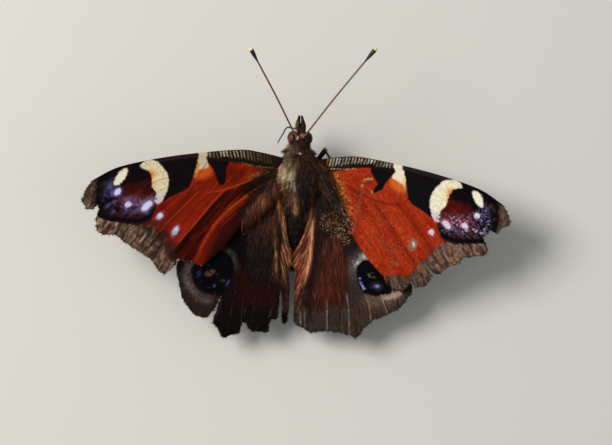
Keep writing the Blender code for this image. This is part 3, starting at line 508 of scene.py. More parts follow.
HIND_ZONES = {
    "left": (
        (13.5, -14.0), (16.6, -14.5), (16.6, -18), (14.5, -22.0), (11.0, -23.2), (10.0, -20.2), (12.0, -19.0),
        (14.0, -17.0),
    ),
    "right": (
        (9.6, -18.2), (12.0, -18.3), (14.6, -16.6), (17.0, -15.4), (17.2, -18.5), (14.5, -20.8),
        (11.5, -22.2), (9.6, -24.5), (8.4, -22.5), (9.0, -19.5),
    ),
}
HIND_OUTER_RING = ((14.2, -14.9), (14.9, -16.2), (14.8, -17.6), (14.0, -19.1), (12.6, -20.2), (11.3, -20.4))
HIND_PALE = ((11.2, -19.0), (13.2, -18.8), (14.8, -18.1))
HIND_PALEST = ((13.0, -18.6), (14.0, -18.3), (14.9, -17.9))
HIND_CORNER = ((15.6, -15.2), (17.2, -15.5), (17.0, -17.8), (15.9, -18.6), (15.4, -17.0))
LEFT_EYE_BLUES = (
    (13.25, -16.7, 0.4, 0.9, 15, 0.8), (12.0, -15.4, 0.5, 0.4, -30, 0.8), (10.6, -16.7, 0.3, 0.55, 0, 0.4),
    (11.6, -18.5, 0.5, 0.25, 10, 0.5), (9.1, -17.8, 0.3, 0.9, 25, 0.8), (12.6, -17.6, 0.5, 0.4, 0, 0.4),
)
RIGHT_EYE_RIM = ((9.3, -15.9), (9.55, -16.6), (10.0, -17.4))
REAR_LINES = (
    ((5.0, -19.4), (5.25, -23.6)), ((7.7, -18.2), (8.1, -20.5), (8.45, -23.8)),
    ((10.4, -18.2), (11.0, -20.2), (11.3, -21.8)), ((12.5, -18.1), (13.1, -19.6), (13.6, -20.7)),
    ((14.1, -17.4), (14.7, -18.6)), ((1.9, -20.6), (2.1, -23.4)), ((1.2, -20.8), (1.5, -23.0)),
)
COPPER_RIDGE = ((2.5, -6.5), (2.4, -9.0), (2.25, -12.0), (2.2, -15.0), (1.7, -18.0))
UNDER_BAR = ((12.8, 0), (15, 0), (15.4, -2.6), (13.2, -2.4))


class Canvas:
    """Colours laid over one another at the points of a wing, x outwards and y forwards."""

    def __init__(self, x, y, left, ground):
        self.x, self.y, self.left = x, y, left
        self.colour = np.broadcast_to(np.array(ground, float), x.shape + (3,))

    # The left wing's colour or the right's: the left wings' colours are darker, most of the difference
    # painted shade
    def pick(self, left, right):
        return left if self.left else right

    def lay(self, colour, *mask):
        self.colour = lay(self.colour, colour, *mask)

    def tone(self, factor):
        self.colour = self.colour * factor[..., None]

    def blank(self, ground):
        """A canvas of one colour over the same points."""
        return Canvas(self.x, self.y, self.left, ground)


def paint_fore(x, y, side):
    """Colour of the upper side of a fore wing. The left wing's colours are darker throughout, most of the
    difference painted shade.
    """
    left = side == "left"
    w = Canvas(x, y, left, (120, 26, 9) if left else (163, 45, 18))
    w.marks = FORE_MARKS[side]
    w.grain, w.grain2 = noise(x, y, 0.17, 21), noise(x, y, 0.3, 22)
    w.fine, w.coarse, w.broad = w.grain - 0.5, w.grain2 - 0.5, rough(x, y, 2.2, 23) - 0.5
    w.run = streaks(x + 0.3 * noise(x, y, 1.4, 27), y, 52, 0.16, 2.2, 28)
    pairs = ((3, 5), (4, 6))
    wobble = [0.22 * (rough(x, y, 0.9, a) - 0.5) + 0.16 * (noise(x, y, 0.22, b) - 0.5) for a, b in pairs]
    w.wob = (x + wobble[0], y + wobble[1])
    w.back = np.interp(x, front_edge[:, 0], front_edge[:, 1]) - y
    w.veins = [to_line(x, y, curve(vein)) for vein in (V_CUBITUS, V_M3, V_CU1, V_CU2, V_ANAL)]
    red_field(w)
    (left_folds if left else right_folds)(w)
    cream_bar(w)
    (left_gold if left else right_gold)(w)
    front_marks(w)
    eye_mark(w)
    crescent(w)
    margin(w)
    dark_root(w)
    if not left:
        wear(w)
    return np.clip(w.colour, 0, 255)


def red_field(w):
    """The red ground, streaked along the wing and dusted with darker and lighter scales."""
    x, y, lay, pick = w.x, w.y, w.lay, w.pick
    light = pick((156, 50, 20), (186, 72, 36))
    lay(pick((80, 15, 6), (134, 30, 11)), (-0.08, 0.25, w.broad), 0.7)
    lay(light, (0.55, 0.9, w.grain), 0.3)
    lay((92, 24, 12), (0.6, 0.9, noise(x, y, 0.24, 24)), pick(0.4, 0.25))
    lay(light, (0.62, 0.9, streaks(x, y, 50, 0.3, 1.4, 25)), 0.25)
    if not w.left:
        lay((196, 74, 40), (0.6, 0.8, noise(x, y, 0.15, 29)), 0.45)
        lay((120, 26, 14), (0.6, 0.85, noise(x, y, 0.19, 30)), 0.45)
    w.tone(pick(0.8 + 0.4 * w.run, 0.9 + 0.2 * w.run))


def left_folds(w):
    """The left wing's veins, with painted highlights along them and painted shade beside them, and the band
    of painted shade between the first cubital vein and the fold behind it.
    """
    x, y, lay = w.x, w.y, w.lay
    (d_cub, s_cub, k_cub), (d_m3, _, k_m3), (d_cu1, _, k_cu1), _, (d_an, s_an, k_an) = w.veins
    behind = k_an < 0
    # Painted shade on one side of the third median vein, a painted highlight along it and painted shade on
    # its other side
    lay((84, 18, 8), (1.2, 0.1, d_m3), k_m3 > 0, (13.6, 15.0, x), 0.7)
    lay((170, 64, 30), (0.22, 0.05, d_m3), 0.6)
    lay((116, 26, 10), (1.1, 0.2, d_m3), k_m3 < 0, k_cu1 > 0, 0.5)
    # The band between the first cubital vein and the fold: dark reds to near black, painted shade on the
    # flank of the pleat that faces away from the light
    pleat_shade = w.blank((78, 15, 7))
    pleat_shade.lay((40, 10, 7), (1.3, 0.1, d_cu1))
    pleat_shade.lay((104, 24, 10), (0.9, 0.3, d_an + 0.4 * w.broad))
    pleat_shade.lay((36, 14, 9), (9.5, 6.0, x))
    pleat_shade.lay((128, 38, 16), (0.6, 0.9, streaks(x, y, 50, 0.2, 1.8, 26)), 0.6)
    pleat_shade.tone(0.55 + 0.55 * w.run)
    lay(pleat_shade.colour, (-0.05, 0.3, -d_cu1 * k_cu1), k_an > 0, k_cub < 0)
    # Behind the fold: dark, partly the scales' own colour and partly painted shade
    lay((92, 20, 9), behind, k_cub < 0, (0.1, 0.6, d_an), 0.9)
    lay((38, 10, 8), behind, (0.5, 1.5, d_an + 0.4 * w.broad), (13.5, 11.0, x), 0.92)
    lay((30, 12, 9), behind, (0.3, 1.0, d_an), (9.5, 6.5, x), 0.92)
    # Painted highlights: bright lines along the fold and the cubital vein, on the pleats' lit flanks
    ends = product((0.02, 0.12, s_an), (0.0, 0.2, 1.05 - s_an))
    lay((178, 54, 20), (0.42, 0.08, d_an + 0.12 * w.coarse), ends, 0.7 + 0.3 * w.grain)
    lay((196, 104, 44), (0.16, 0.04, d_an + 0.1 * w.fine), (0.7, 0.2, s_an), 0.7)
    lay((168, 66, 24), (0.2, 0.05, d_cub), (0.98, 0.6, s_cub), 0.7)
    strands = streaks(x, y, 47, 0.17, 2.0, 32)
    lay((150, 62, 24), (0.55, 0.85, strands), (2.0, 0.6, d_an), (4.0, 5.5, x), (11.5, 9.0, x), 0.7)
    # Painted shade beside the first cubital vein, and a painted highlight along it
    lay((112, 30, 12), (0.5, 0.0, d_cu1), k_cu1 > 0, (10.5, 12.0, x), 0.2)
    lay((166, 66, 32), (0.19, 0.05, d_cu1 + 0.08 * w.fine), (10.2, 11.4, x), (18.4, 16.0, x), 0.6)


def right_folds(w):
    """The right wing's veins as dark lines, with shade on one side of each."""
    (d_cub, *_), (d_m3, _, k_m3), (d_cu1, _, k_cu1), (d_cu2, _, k_cu2), (d_an, *_) = w.veins
    for away, strength in ((d_cub, 0.5), (d_m3, 0.35), (d_cu1, 0.45), (d_cu2, 0.25)):
        w.lay((96, 26, 14), (0.24, 0.06, away + 0.22 * w.coarse), strength)
    w.lay((116, 24, 10), (1.1, 0.1, d_m3), k_m3 > 0, 0.4)
    w.lay((116, 26, 12), (0.9, 0.1, d_cu1), k_cu1 < 0, 0.4)
    w.lay((112, 26, 12), (0.7, 0.1, d_cu2), k_cu2 < 0, 0.3)
    w.lay((186, 66, 28), (0.6, 0.1, d_an), (6.0, 8.0, w.x), 0.3)


def cream_bar(w):
    """Orange behind the cream bar on the front edge, the bar itself and the pale run down from it."""
    x, y, lay, pick = w.x, w.y, w.lay, w.pick
    lay(pick((188, 80, 28), (208, 100, 36)), (-0.45, 0.35, depth(*w.wob, w.marks["bar_low"])), 0.95)
    bar = depth(*w.wob, w.marks["bar"])
    lay(pick((190, 172, 142), (238, 226, 200)), (-0.12, 0.12, bar), (-2.5, -1.8, y + 0.3 * (x - 13.5)))
    down = away_from(*w.wob, w.marks["down"])
    lay(pick((196, 140, 74), (240, 200, 140)), (0.42, 0.12, down), (-3.9, -2.2, y), 0.9)


def left_gold(w):
    """Golden-brown scales about the left wing's root."""
    x, y, lay = w.x, w.y, w.lay
    gold = away_from(x, y, LEFT_GOLD)
    lay((150, 82, 26), (0.55, 0.1, gold + 0.3 * w.coarse), (8.4, 5.5, x), 0.9)
    lay((112, 44, 18), (7.5, 4.5, x), w.veins[0][2] > 0, 0.4 + 0.5 * w.grain)
    lay((165, 104, 44), (0.3, 0.05, gold + 0.3 * w.fine), (7.2, 5.0, x), 0.8)


def right_gold(w):
    """Golden scales down the inner part of the right wing, outside the dark ground at its root."""
    x, y, lay = w.x, w.y, w.lay
    gold, _, side = to_line(x, y, curve(RIGHT_GOLD))
    speckled = 0.45 + 0.55 * ramp(0.3, 0.6, w.grain)
    lay((196, 96, 36), (1.5, 0.3, gold + 0.5 * w.coarse), speckled, (-7.8, -5.8, y), 0.75)
    lay((200, 130, 62), (1.0, 0.2, gold + 0.7 * w.coarse), (0.42, 0.66, w.grain), (-8.0, -6.0, y), 0.85)
    lay((60, 26, 14), (1.4, 0.4, gold), (0.55, 0.75, noise(x, y, 0.2, 33)), 0.7)
    lay((40, 25, 17), (-0.1, 0.9, np.where(side < 0, gold, -gold) + 0.9 * w.coarse), 0.95)


def front_marks(w):
    """The black marks, and the dark strip along the front edge with its fine pale cross bars."""
    x, y, lay, pick, back = w.x, w.y, w.lay, w.pick, w.back
    for mark, grown in (("cell_spot", pick(0.12, 0.0)), ("patch", 0.0)):
        lay(pick((17, 11, 12), (16, 14, 17)), (-0.09, 0.09, depth(*w.wob, w.marks[mark]) + grown))
    reach = np.interp(x, *w.marks["reach"])
    inner = ramp(13.2, 12.7, x)
    lay((26, 18, 14), (0.08, -0.08, back - reach + 0.16 * w.coarse), inner, (2.4, 3.2, x))
    number = (x + 0.25 * back + 0.12 * (noise(x, y, 0.6, 31) - 0.5)) / pick(0.47, 0.44)
    bars = 0.5 + 0.5 * np.cos(2 * math.pi * number)
    strength = lattice(np.floor(number), 0 * x, 3)
    length = back / (0.64 * reach) * (0.85 + 0.3 * strength) + 0.15 * w.fine
    pale = w.blank(pick((80, 68, 46), (205, 150, 80)))
    pale.lay(pick((205, 190, 150), (236, 222, 196)), pick((4.8, 8.6, x), (3.8, 5.2, x + 0.5 * w.coarse)))
    shown = product((0.35, 0.8, bars), 0.35 + 0.65 * strength, (1.05, 0.85, length), (0.02, 0.15, back))
    lay(pale.colour, shown, inner, (3.0, 4.2, x))
    behind = away_from(x, y, w.marks["behind_strip"]) + 0.08 * w.fine
    dotted = product((0.17, 0.04, behind), (9.0, 7.0, x), 0.3 + 0.7 * bars, (0.2, 0.5, w.grain2))
    lay(pick((140, 112, 46), (206, 176, 120)), dotted, 0.85)
    lay(pick((34, 25, 24), (38, 30, 34)), (0.75, 0.5, back), (14.2, 14.6, x))


def eye_mark(w):
    """The eye mark: black with a maroon heart, and violet, pink and white scales in its rear part."""
    x, y, lay, pick = w.x, w.y, w.lay, w.pick
    eye = ramp(-0.1, 0.15, depth(x, y, EYE_MARK))
    lay((14, 10, 14), eye)
    lay(pick((58, 13, 9), (86, 19, 12)), (-0.5, 0.7, depth(*w.wob, EYE_HEART)), 0.7 + 0.5 * w.grain2, 0.9)
    w.lower = ramp(-0.5, 0.8, depth(x, y, EYE_REAR))
    if w.left:
        sizes = ((0.55, 44), (0.6, 45), (0.5, 46))
        specks = [0.5 + 0.62 * (rough(x, y, size, seed) - 0.5) for size, seed in sizes]
    else:
        specks = [noise(x, y, size, seed) for size, seed in ((0.2, 41), (0.24, 42), (0.28, 43))]
    w.speck = specks[0]
    lay(pick((96, 40, 46), (128, 44, 48)), w.lower, (-8.7, -7.2, y), (26.0, 24.0, x), 0.85)
    lay((96, 88, 140), w.lower, (0.45, 0.62, specks[0]), 0.7)
    lay(pick((192, 170, 200), (202, 174, 196)), w.lower, (0.62, 0.78, specks[1]), pick(0.55, 0.85))
    lay((12, 10, 20), w.lower, (0.6, 0.75, specks[2]), 0.8)
    for points in EYE_VEINS:
        vein = away_from(x, y, points) + 0.3 * w.coarse
        lay(pick((96, 44, 48), (120, 40, 34)), (0.34, 0.06, vein), eye, (-5.0, -5.8, y), 0.55)
    lay((80, 80, 132), (-0.3, 0.9, ellipse(x, y, 26.0, -5.4, 0.9, 1.9, 12)), (0.3, 0.6, w.speck), 0.55)
    lay((98, 92, 150), (-0.2, 0.9, ellipse(x, y, 22.3, -8.4, 1.3, 0.5, -35)), 0.6)


def crescent(w):
    """The cream crescent about the eye mark, the cream spot before it and the row of violet-white spots."""
    x, y, lay, pick = w.x, w.y, w.lay, w.pick
    cream = w.blank(pick((214, 198, 166), (246, 238, 210)))
    cream.lay(pick((206, 190, 184), (226, 210, 214)), (-5.2, -6.6, y))
    over = x - pick(0, 0.55) + 0.2 * (y + 4)
    middle = product((-2.2, -3.2, y), (-6.2, -5.0, y))
    cream.lay(pick((222, 184, 120), (246, 214, 152)), (19.5, 20.3, over + 0.4 * w.coarse), middle, 0.7)
    cream.lay(pick((198, 118, 54), (222, 140, 70)), (20.2, 20.8, over + 0.3 * w.coarse), middle, 0.85)
    cream.lay((150, 130, 104), (0.6, 0.85, w.grain2), (-3.2, -1.5, y), pick(0.5, 0.2))
    cream.lay(pick((206, 196, 214), (230, 214, 226)), (-5.6, -6.8, y), (0.3, 0.6, w.grain2), 0.7)
    cream.tone(0.88 + 0.2 * w.grain)
    dusted = product(w.lower, (0.45, 0.6, w.speck), (-6.0, -7.0, y))
    lay(cream.colour, (-0.1, 0.12, depth(*w.wob, w.marks["crescent"])), (0.25, 0.0, dusted))
    lay(pick((222, 216, 190), (248, 240, 214)), (-0.1, 0.14, depth(*w.wob, w.marks["cream_spot"])))
    for number, (cx, cy, a, b, turn) in enumerate(w.marks["spots"]):
        halo = ellipse(*w.wob, cx, cy, a * 1.9, b * 2.0, turn)
        shown = ramp(0.2, 0.6, w.speck + pick(0.2, 0))
        lay(pick((150, 120, 180), (206, 140, 168)), (0.0, 0.6, halo), 0.5 if number > 2 else 0.6, shown)
        level = ellipse(*w.wob, cx, cy, a, b, turn)
        lay(pick((206, 208, 240), (240, 236, 250)), (-0.15, 0.3, level), pick(0.95, 0.6 + 0.4 * w.grain))


def margin(w):
    """The brown outer margin, streaked along the veins' run, and the dark line inside it."""
    x, y, lay, pick = w.x, w.y, w.lay, w.pick
    away, along, side = to_line(x, y, curve(w.marks["margin"]))
    out = np.where(side > 0, away, -away)
    streak = streaks(x + 0.2 * noise(x, y, 1.2, 51), y, 60, 0.3, 1.5, 52)
    diffuse = np.interp(along, [0, 0.12, 0.3, 0.5, 0.62, 1.0], [0.6, 0.3, 0.14, 0.4, 1.3, 1.1])
    band = ramp(-0.5, 0.5, out / diffuse + 1.2 * (noise(x, y, 0.7, 53) - 0.5) + 0.5 * w.coarse)
    patches = (pick(0.2, 0.3), 0.6, noise(x, y, 0.8, 55))
    before = product((pick(2.6, 1.8), 0.1, away), out < 0.2, (0.28, 0.45, along))
    lay(pick((58, 24, 18), (104, 36, 22)), before, patches, pick(0.9, 0.6))
    brown = w.blank(pick((104, 80, 65), (124, 97, 80)))
    brown.lay((48, 34, 28), (0.45, 0.75, streak), pick(1.0, 0.6))
    brown.lay((112, 96, 66), (0.55, 0.8, rough(x, y, 0.9, 56)), 0.5)
    brown.lay((54, 38, 31), (0.5, 0.85, streaks(x, y, 62, 0.16, 0.8, 54)), 0.7)
    pale = streaks(x + 0.15 * noise(x, y, 0.8, 57), y, 60, 0.17, 2.4, 58)
    brown.lay(pick((176, 154, 130), (150, 128, 106)), (0.84, 0.93, pale), pick(0.9, 0.6))
    tip = product((26.6, 28.2, x), (-8.0, -5.2, y), 0.65 + 0.5 * ramp(0.3, 0.7, noise(x, y, 0.5, 60)))
    brown.lay((36, 26, 24), tip, pick(0.85, 0.5))
    brown.tone(0.72 + 0.56 * w.grain)
    brown.tone(pick(1 + 0.35 * product((25.4, 26.3, x), (-9.0, -9.9, y)), 1 - 0.22 * ramp(-13.6, -15.0, y)))
    lobe_start = x + 1.5 * (noise(x, y, 0.6, 59) - 0.5) + 0.5 * w.coarse + 0.35 * (y + 6)
    lay(brown.colour, np.maximum(band, product((27.2, 28.7, lobe_start), (-3.6, -4.8, y))))
    if w.left:
        smoke = product((1.3, 0.1, away), (0.46, 0.54, along), (0.98, 0.85, along))
        lay((44, 26, 22), smoke, (0.15, 0.45, noise(x, y, 0.7, 61) + 0.2 * (streak - 0.5)), 0.9)
    rim = away_from(x, y, EYE_RIM) + 0.3 * w.fine
    lay((12, 9, 14), (0.5, 0.12, rim), (28.4, 27.8, x), (19.6, 20.6, x))
    if w.left:
        lay((196, 186, 150), (0.0, 0.5, ellipse(x, y, 16.2, -15.0, 0.24, 0.36, 30)), 0.8)


def dark_root(w):
    """The dark hairy ground at the root."""
    x, y, lay, pick = w.x, w.y, w.lay, w.pick
    edge = pick(4.4, 4.3)
    lean = pick(0.5 * np.maximum(y, -4.2), 0.45 * (np.maximum(y, -5.0) + 1.5))
    root = product((edge + 1.2, edge - 0.6, x + lean + 1.6 * w.coarse), (1.8, 2.4, w.back))
    lay((32, 20, 15), root, 0.9)
    lay((98, 46, 22), root, (0.62, 0.85, streaks(x, y, 42, 0.18, 1.2, 71)), pick(0.8, 0.5))
    lay((34, 22, 17), (4.0, 3.3, x + 0.6 * w.coarse))


def wear(w):
    """Rubbed and scratched places on the right fore wing."""
    x, y, lay, grain, grain2 = w.x, w.y, w.lay, w.grain, w.grain2
    arc = away_from(x, y, WEAR_ARC) + 0.3 * w.coarse
    lay((170, 160, 96), (0.2, 0.05, arc), (0.15, 0.5, grain), 0.9)
    lay((140, 132, 84), (-0.2, 0.4, ellipse(x, y, 10.35, -3.75, 0.2, 0.36, 20)), (0.2, 0.6, grain), 0.8)
    for points, width, strength in SCRATCHES:
        away = away_from(x, y, points) * 1.15 + 0.24 * w.fine
        lay((104, 84, 78), (width, width * 0.3, away), strength, (0.1, 0.45, grain2))
    rubbed = depth(x + 0.3 * w.coarse, y, RUBBED)
    lay((132, 122, 112), (-0.1, 0.1, rubbed), 0.45 + 0.45 * grain)
    lay((206, 200, 214), (-0.1, 0.5, ellipse(x, y, 16.6, -10.75, 0.55, 0.24, -75)), 0.9)
    lay((150, 130, 150), (-0.1, 0.6, ellipse(x, y, 8.0, -9.5, 0.4, 0.22, 70)), (0.2, 0.6, grain), 0.6)
    flecks = product((0.78, 0.86, noise(x, y, 0.24, 61)), (5, 8, x), (19, 17, x))
    lay((198, 104, 52), flecks, (0.2, 0.5, depth(x, y, FLECKED)), 0.5)


def paint_hind(x, y, side):
    """Colour of the upper side of a hind wing. The left wing's colours are darker throughout, most of the
    difference painted shade.
    """
    left = side == "left"
    w = Canvas(x, y, left, (24, 13, 12) if left else (46, 24, 17))
    w.grain, w.grain2 = noise(x, y, 0.17, 121), noise(x, y, 0.32, 122)
    w.coarse = w.grain2 - 0.5
    pairs = ((103, w.grain), (104, w.grain2))
    wobble = [0.25 * (rough(x, y, 1.0, seed) - 0.5) + 0.14 * (grain - 0.5) for seed, grain in pairs]
    w.wob = (x + wobble[0], y + wobble[1])
    w.strand = streaks(x + 0.3 * noise(x, y, 1.5, 107), y, 86, 0.2, 2.2, 105)
    w.lock = streaks(x + 0.4 * noise(x, y, 2.0, 108), y, 86, 0.45, 3.0, 106)
    (left_hind_field if left else right_hind_field)(w)
    w.lay((9, 8, 12), (-0.12, 0.15, depth(*w.wob, HIND_EYES[side])))
    w.speck = noise(x, y, 0.22, 141)
    (left_hind_eye if left else right_hind_eye)(w)
    rear_lines(w)
    copper_ridge(w)
    # Fine grain in the colours, and the left wing darker by the factor 0.84 as painted shade
    w.tone((0.74 + 0.3 * w.grain + 0.22 * noise(x, y, 0.14, 157)) * (0.84 if left else 1.0))
    return np.clip(w.colour, 0, 255)


def left_hind_field(w):
    """The left hind wing's dark ground, the haze about its eye mark and the grey outer zone."""
    x, y, lay = w.x, w.y, w.lay
    lay((46, 14, 13), (-1.5, 2.0, depth(x, y, HIND_MAROON["left"])), 0.9)
    lay((104, 56, 28), (0.55, 0.85, w.strand), (6.5, 2.5, x), (-16, -9, y), 0.75)
    lay((12, 10, 11), (-0.8, 1.2, depth(x, y, HIND_BLACK["left"])), 0.9)
    lay((16, 13, 13), (-20.3, -22.0, y + 0.8 * w.coarse), 0.85)
    lay((88, 74, 62), (0.8, 0.92, w.strand), (-18.5, -21.0, y), 0.5)
    haze = (0.35 + 0.75 * rough(x, y, 0.4, 151)) * (0.6 + 0.6 * noise(x, y, 0.16, 152))
    ring = away_from(x, y, HIND_RINGS["left"]) + 0.25 * w.coarse
    lay((92, 80, 78), (0.85, 0.05, ring), (-16.8, -14.5, y), haze, 0.75)
    zone = depth(x, y, HIND_ZONES["left"])
    lay((44, 34, 32), (-0.5, 0.4, zone))
    outer = away_from(x, y, HIND_OUTER_RING) + 0.4 * w.coarse
    lay((114, 99, 93), (0.95, 0.1, outer), haze, (10.6, 12.0, x))
    lay((84, 62, 50), (0.6, 0.85, streaks(x, y, 60, 0.22, 1.6, 131)), (-0.2, 0.6, zone), 0.6)


def right_hind_field(w):
    """The right hind wing's rust ground, the smoky ring before its eye mark and the brown outer zone."""
    x, y, lay = w.x, w.y, w.lay
    lay((102, 38, 23), (-0.8, 1.0, depth(x, y, HIND_MAROON["right"])), (0.2, 0.85, w.strand))
    lay((112, 34, 16), (0.5, 0.8, w.lock), (2.4, 1.6, x), (-21.5, -19.5, y), 0.9)
    lay((50, 40, 38), (7.2, 8.4, x + 0.5 * w.coarse), (-11, -13, y))
    lay((54, 44, 38), (-19.8, -21.2, y + 0.9 * (w.lock - 0.5)))
    lay((84, 72, 64), (0.6, 0.9, w.lock), (-19.0, -21.0, y), (4.5, 6.0, x), 0.5)
    lay((34, 24, 20), (0.55, 0.8, w.strand), (-19.0, -20.5, y), 0.7)
    lay((124, 90, 46), (0.6, 0.82, w.grain2), (-12.5, -10.0, y), (7.5, 5.5, x), 0.7)
    lay((28, 25, 27), (-0.5, 0.5, depth(x, y, HIND_BLACK["right"])), 0.9)
    smoke = (0.55 + 0.6 * noise(x, y, 0.5, 153)) * (0.75 + 0.4 * noise(x, y, 0.15, 154))
    ring = away_from(x, y, HIND_RINGS["right"])
    lay((84, 74, 74), (2.0, 0.6, ring), (-18.0, -15.0, y), smoke, 0.8)
    lay((196, 186, 184), (0.9, 0.1, ring + 0.5 * w.coarse), (-15.4, -13.6, y), smoke, 0.85)
    zone = depth(x, y, HIND_ZONES["right"])
    lay((60, 45, 38), (-0.4, 0.4, zone))
    pale = away_from(x, y, HIND_PALE) + 0.5 * w.coarse
    lay((112, 88, 76), (1.7, 0.3, pale), 0.45 + 0.5 * noise(x, y, 0.16, 155))
    lay((42, 30, 26), (0.55, 0.8, streaks(x, y, 72, 0.22, 1.6, 132)), (-0.2, 0.6, zone), 0.75)
    paler = away_from(x, y, HIND_PALEST) + 0.5 * w.coarse
    lay((186, 160, 146), (0.6, 0.1, paler), 0.35 + 0.6 * noise(x, y, 0.16, 156))
    lay((46, 36, 34), (-0.2, 0.5, depth(x, y, HIND_CORNER)), 0.9)


def left_hind_eye(w):
    """Blue and brown-gold places in the left hind wing's eye mark."""
    for cx, cy, a, b, turn, strength in LEFT_EYE_BLUES:
        w.lay((56, 54, 116), (-0.1, 0.7, ellipse(*w.wob, cx, cy, a, b, turn)), (0.25, 0.6, w.speck), strength)
    w.lay((112, 106, 170), (0.0, 0.7, ellipse(*w.wob, 9.0, -17.8, 0.16, 0.6, 25)), (0.2, 0.5, w.speck), 0.7)
    w.lay((128, 122, 176), (0.0, 0.7, ellipse(*w.wob, 10.95, -18.35, 0.2, 0.32, 0)), 0.7)
    gold = ramp(0.12, 0.55, w.speck)
    w.lay((104, 80, 52), (-0.1, 0.5, ellipse(*w.wob, 11.6, -16.5, 1.0, 0.6, -25)), gold, 0.85)
    w.lay((104, 72, 46), (-0.1, 0.5, ellipse(*w.wob, 9.8, -17.5, 0.45, 0.3, 0)), gold, 0.8)


def right_hind_eye(w):
    """Violet places and a grey smudge in the right hind wing's eye mark."""
    w.lay((176, 170, 224), (0.0, 0.8, ellipse(*w.wob, 11.85, -16.95, 0.6, 0.42, 0)), 0.5 + 0.6 * w.speck)
    w.lay((96, 90, 150), (-0.2, 0.6, ellipse(*w.wob, 11.85, -16.95, 1.1, 0.75, 0)), 0.35, 0.4 + w.speck)
    rim = away_from(*w.wob, RIGHT_EYE_RIM) + 0.2 * (w.grain - 0.5)
    w.lay((150, 144, 204), (0.26, 0.05, rim), (0.2, 0.55, w.speck))
    w.lay((118, 112, 96), (0.0, 0.6, ellipse(*w.wob, 11.0, -15.4, 0.85, 0.6, -30)), (0.5, 0.7, w.speck), 0.8)


def rear_lines(w):
    """Pale lines along the veins near the rear edge."""
    shown = w.pick(0.3 * ramp(0.62, 0.8, w.grain2), 0.75 * (0.4 + 0.6 * w.grain2))
    for points in REAR_LINES:
        w.lay(w.pick((90, 78, 66), (160, 146, 130)), (0.13, 0.03, away_from(w.x, w.y, points)), shown)
    if not w.left:
        w.lay((120, 112, 168), (0.0, 0.7, ellipse(*w.wob, 7.75, -18.6, 0.2, 0.5, 10)), 0.7)


def copper_ridge(w):
    """The copper line down the ridge beside the abdomen, partly the hair's own copper and partly a painted
    highlight on the ridge's crest, and the hair's ground inside it.
    """
    x, y, lay = w.x, w.y, w.lay
    ridge = away_from(x, y, COPPER_RIDGE)
    if w.left:
        lay((150, 88, 44), (0.45, 0.1, ridge), (-16.5, -14.5, y), 0.85)
        lay((110, 62, 40), (2.3, 1.5, x), (-17, -15, y), 0.7)
    else:
        lay((188, 104, 72), (0.5, 0.1, ridge), (-19.5, -17.5, y), (-8.0, -10.0, y), 0.9)
        lay((128, 60, 36), (2.2, 1.6, x), (-19.5, -17.5, y), 0.5 + 0.5 * w.strand)


def paint_under(x, y, fore):
    """The underside: near black with fine wavy lines, paler towards the edge, as a dead leaf or bark."""
    w = Canvas(x, y, False, (34, 27, 24))
    grain = noise(x, y, 0.18, 401)
    wave = y * 0.55 - x * 0.8 + 0.9 * rough(x, y, 2.2, 402)
    lines = noise(wave * 2.6, x * 0.15 + y * 0.15, 1.0, 403)
    w.lay((12, 10, 10), (0.5, 0.75, lines))
    w.lay((78, 64, 52), (0.3, 0.1, lines), 0.5)
    if fore:
        w.lay((120, 104, 84), (-0.6, 0.9, depth(x, y, UNDER_BAR)), 0.5)
        w.lay((108, 92, 78), (22, 26, x), (0.45, 0.7, grain), 0.5)
    w.lay((70, 60, 52), (0.62, 0.9, streaks(x, y, 70, 0.18, 1.4, 404)), 0.4)
    w.tone(0.85 + 0.3 * grain)
    return w.colour


def hill(distance, half_width):
    """1 on a line, 0 at the half width and beyond, and round between."""
    return 0.5 * (1 + np.cos(np.pi * np.minimum(distance / half_width, 1)))


def veins_lift(x, y, veins):
    """How far the veins' ridges stand up at a point."""
    lift = np.zeros(x.shape)
    for vein in veins:
        away, along, _ = to_line(x, y, curve(vein, 5))
        lift = np.maximum(lift, VEIN_HEIGHT * (1.1 - 0.5 * along) * hill(away, VEIN_HALF_WIDTH))
    return lift


def fore_middle(x, y, side):
    """Height of the fore wing's middle surface, pleated along two lines on the left."""
    out = x - 2.5
    across = -0.366 * out + 0.932 * -(y + 0.8)
    height = FORE_ROOT_Z + 0.2 * out - 0.0028 * out * out - 0.008 * across * across
    if side == "left":
        for line, rise in ((PLEAT_CREST, 0.35), (PLEAT_VALLEY, -0.35)):
            away, along, _ = to_line(x, y, curve(line, 4))
            height = height + rise * np.minimum(along * 4, 1) * hill(away, 1.5)
    height = height + (0.05 if side == "right" else 0.09) * (rough(x, y, 3.0, 201) - 0.5)
    return height + 0.1 * (rough(x, y, 1.6, 202) - 0.5) * ramp(11, 16, x - 0.6 * (y + 14))


def hind_middle(x, y, side):
    """Height of the hind wing's middle surface, with the fold beside the abdomen."""
    out = x - 2.5
    height = HIND_ROOT_Z + 0.11 * out - 0.002 * out * out
    away, along, _ = to_line(x, y, curve(HIND_FOLD, 4))
    height = height + 0.5 * np.minimum(along * 5, 1) * hill(away, 1.1)
    return height + 0.1 * (rough(x, y, 2.4, 203 if side == "right" else 204) - 0.5)


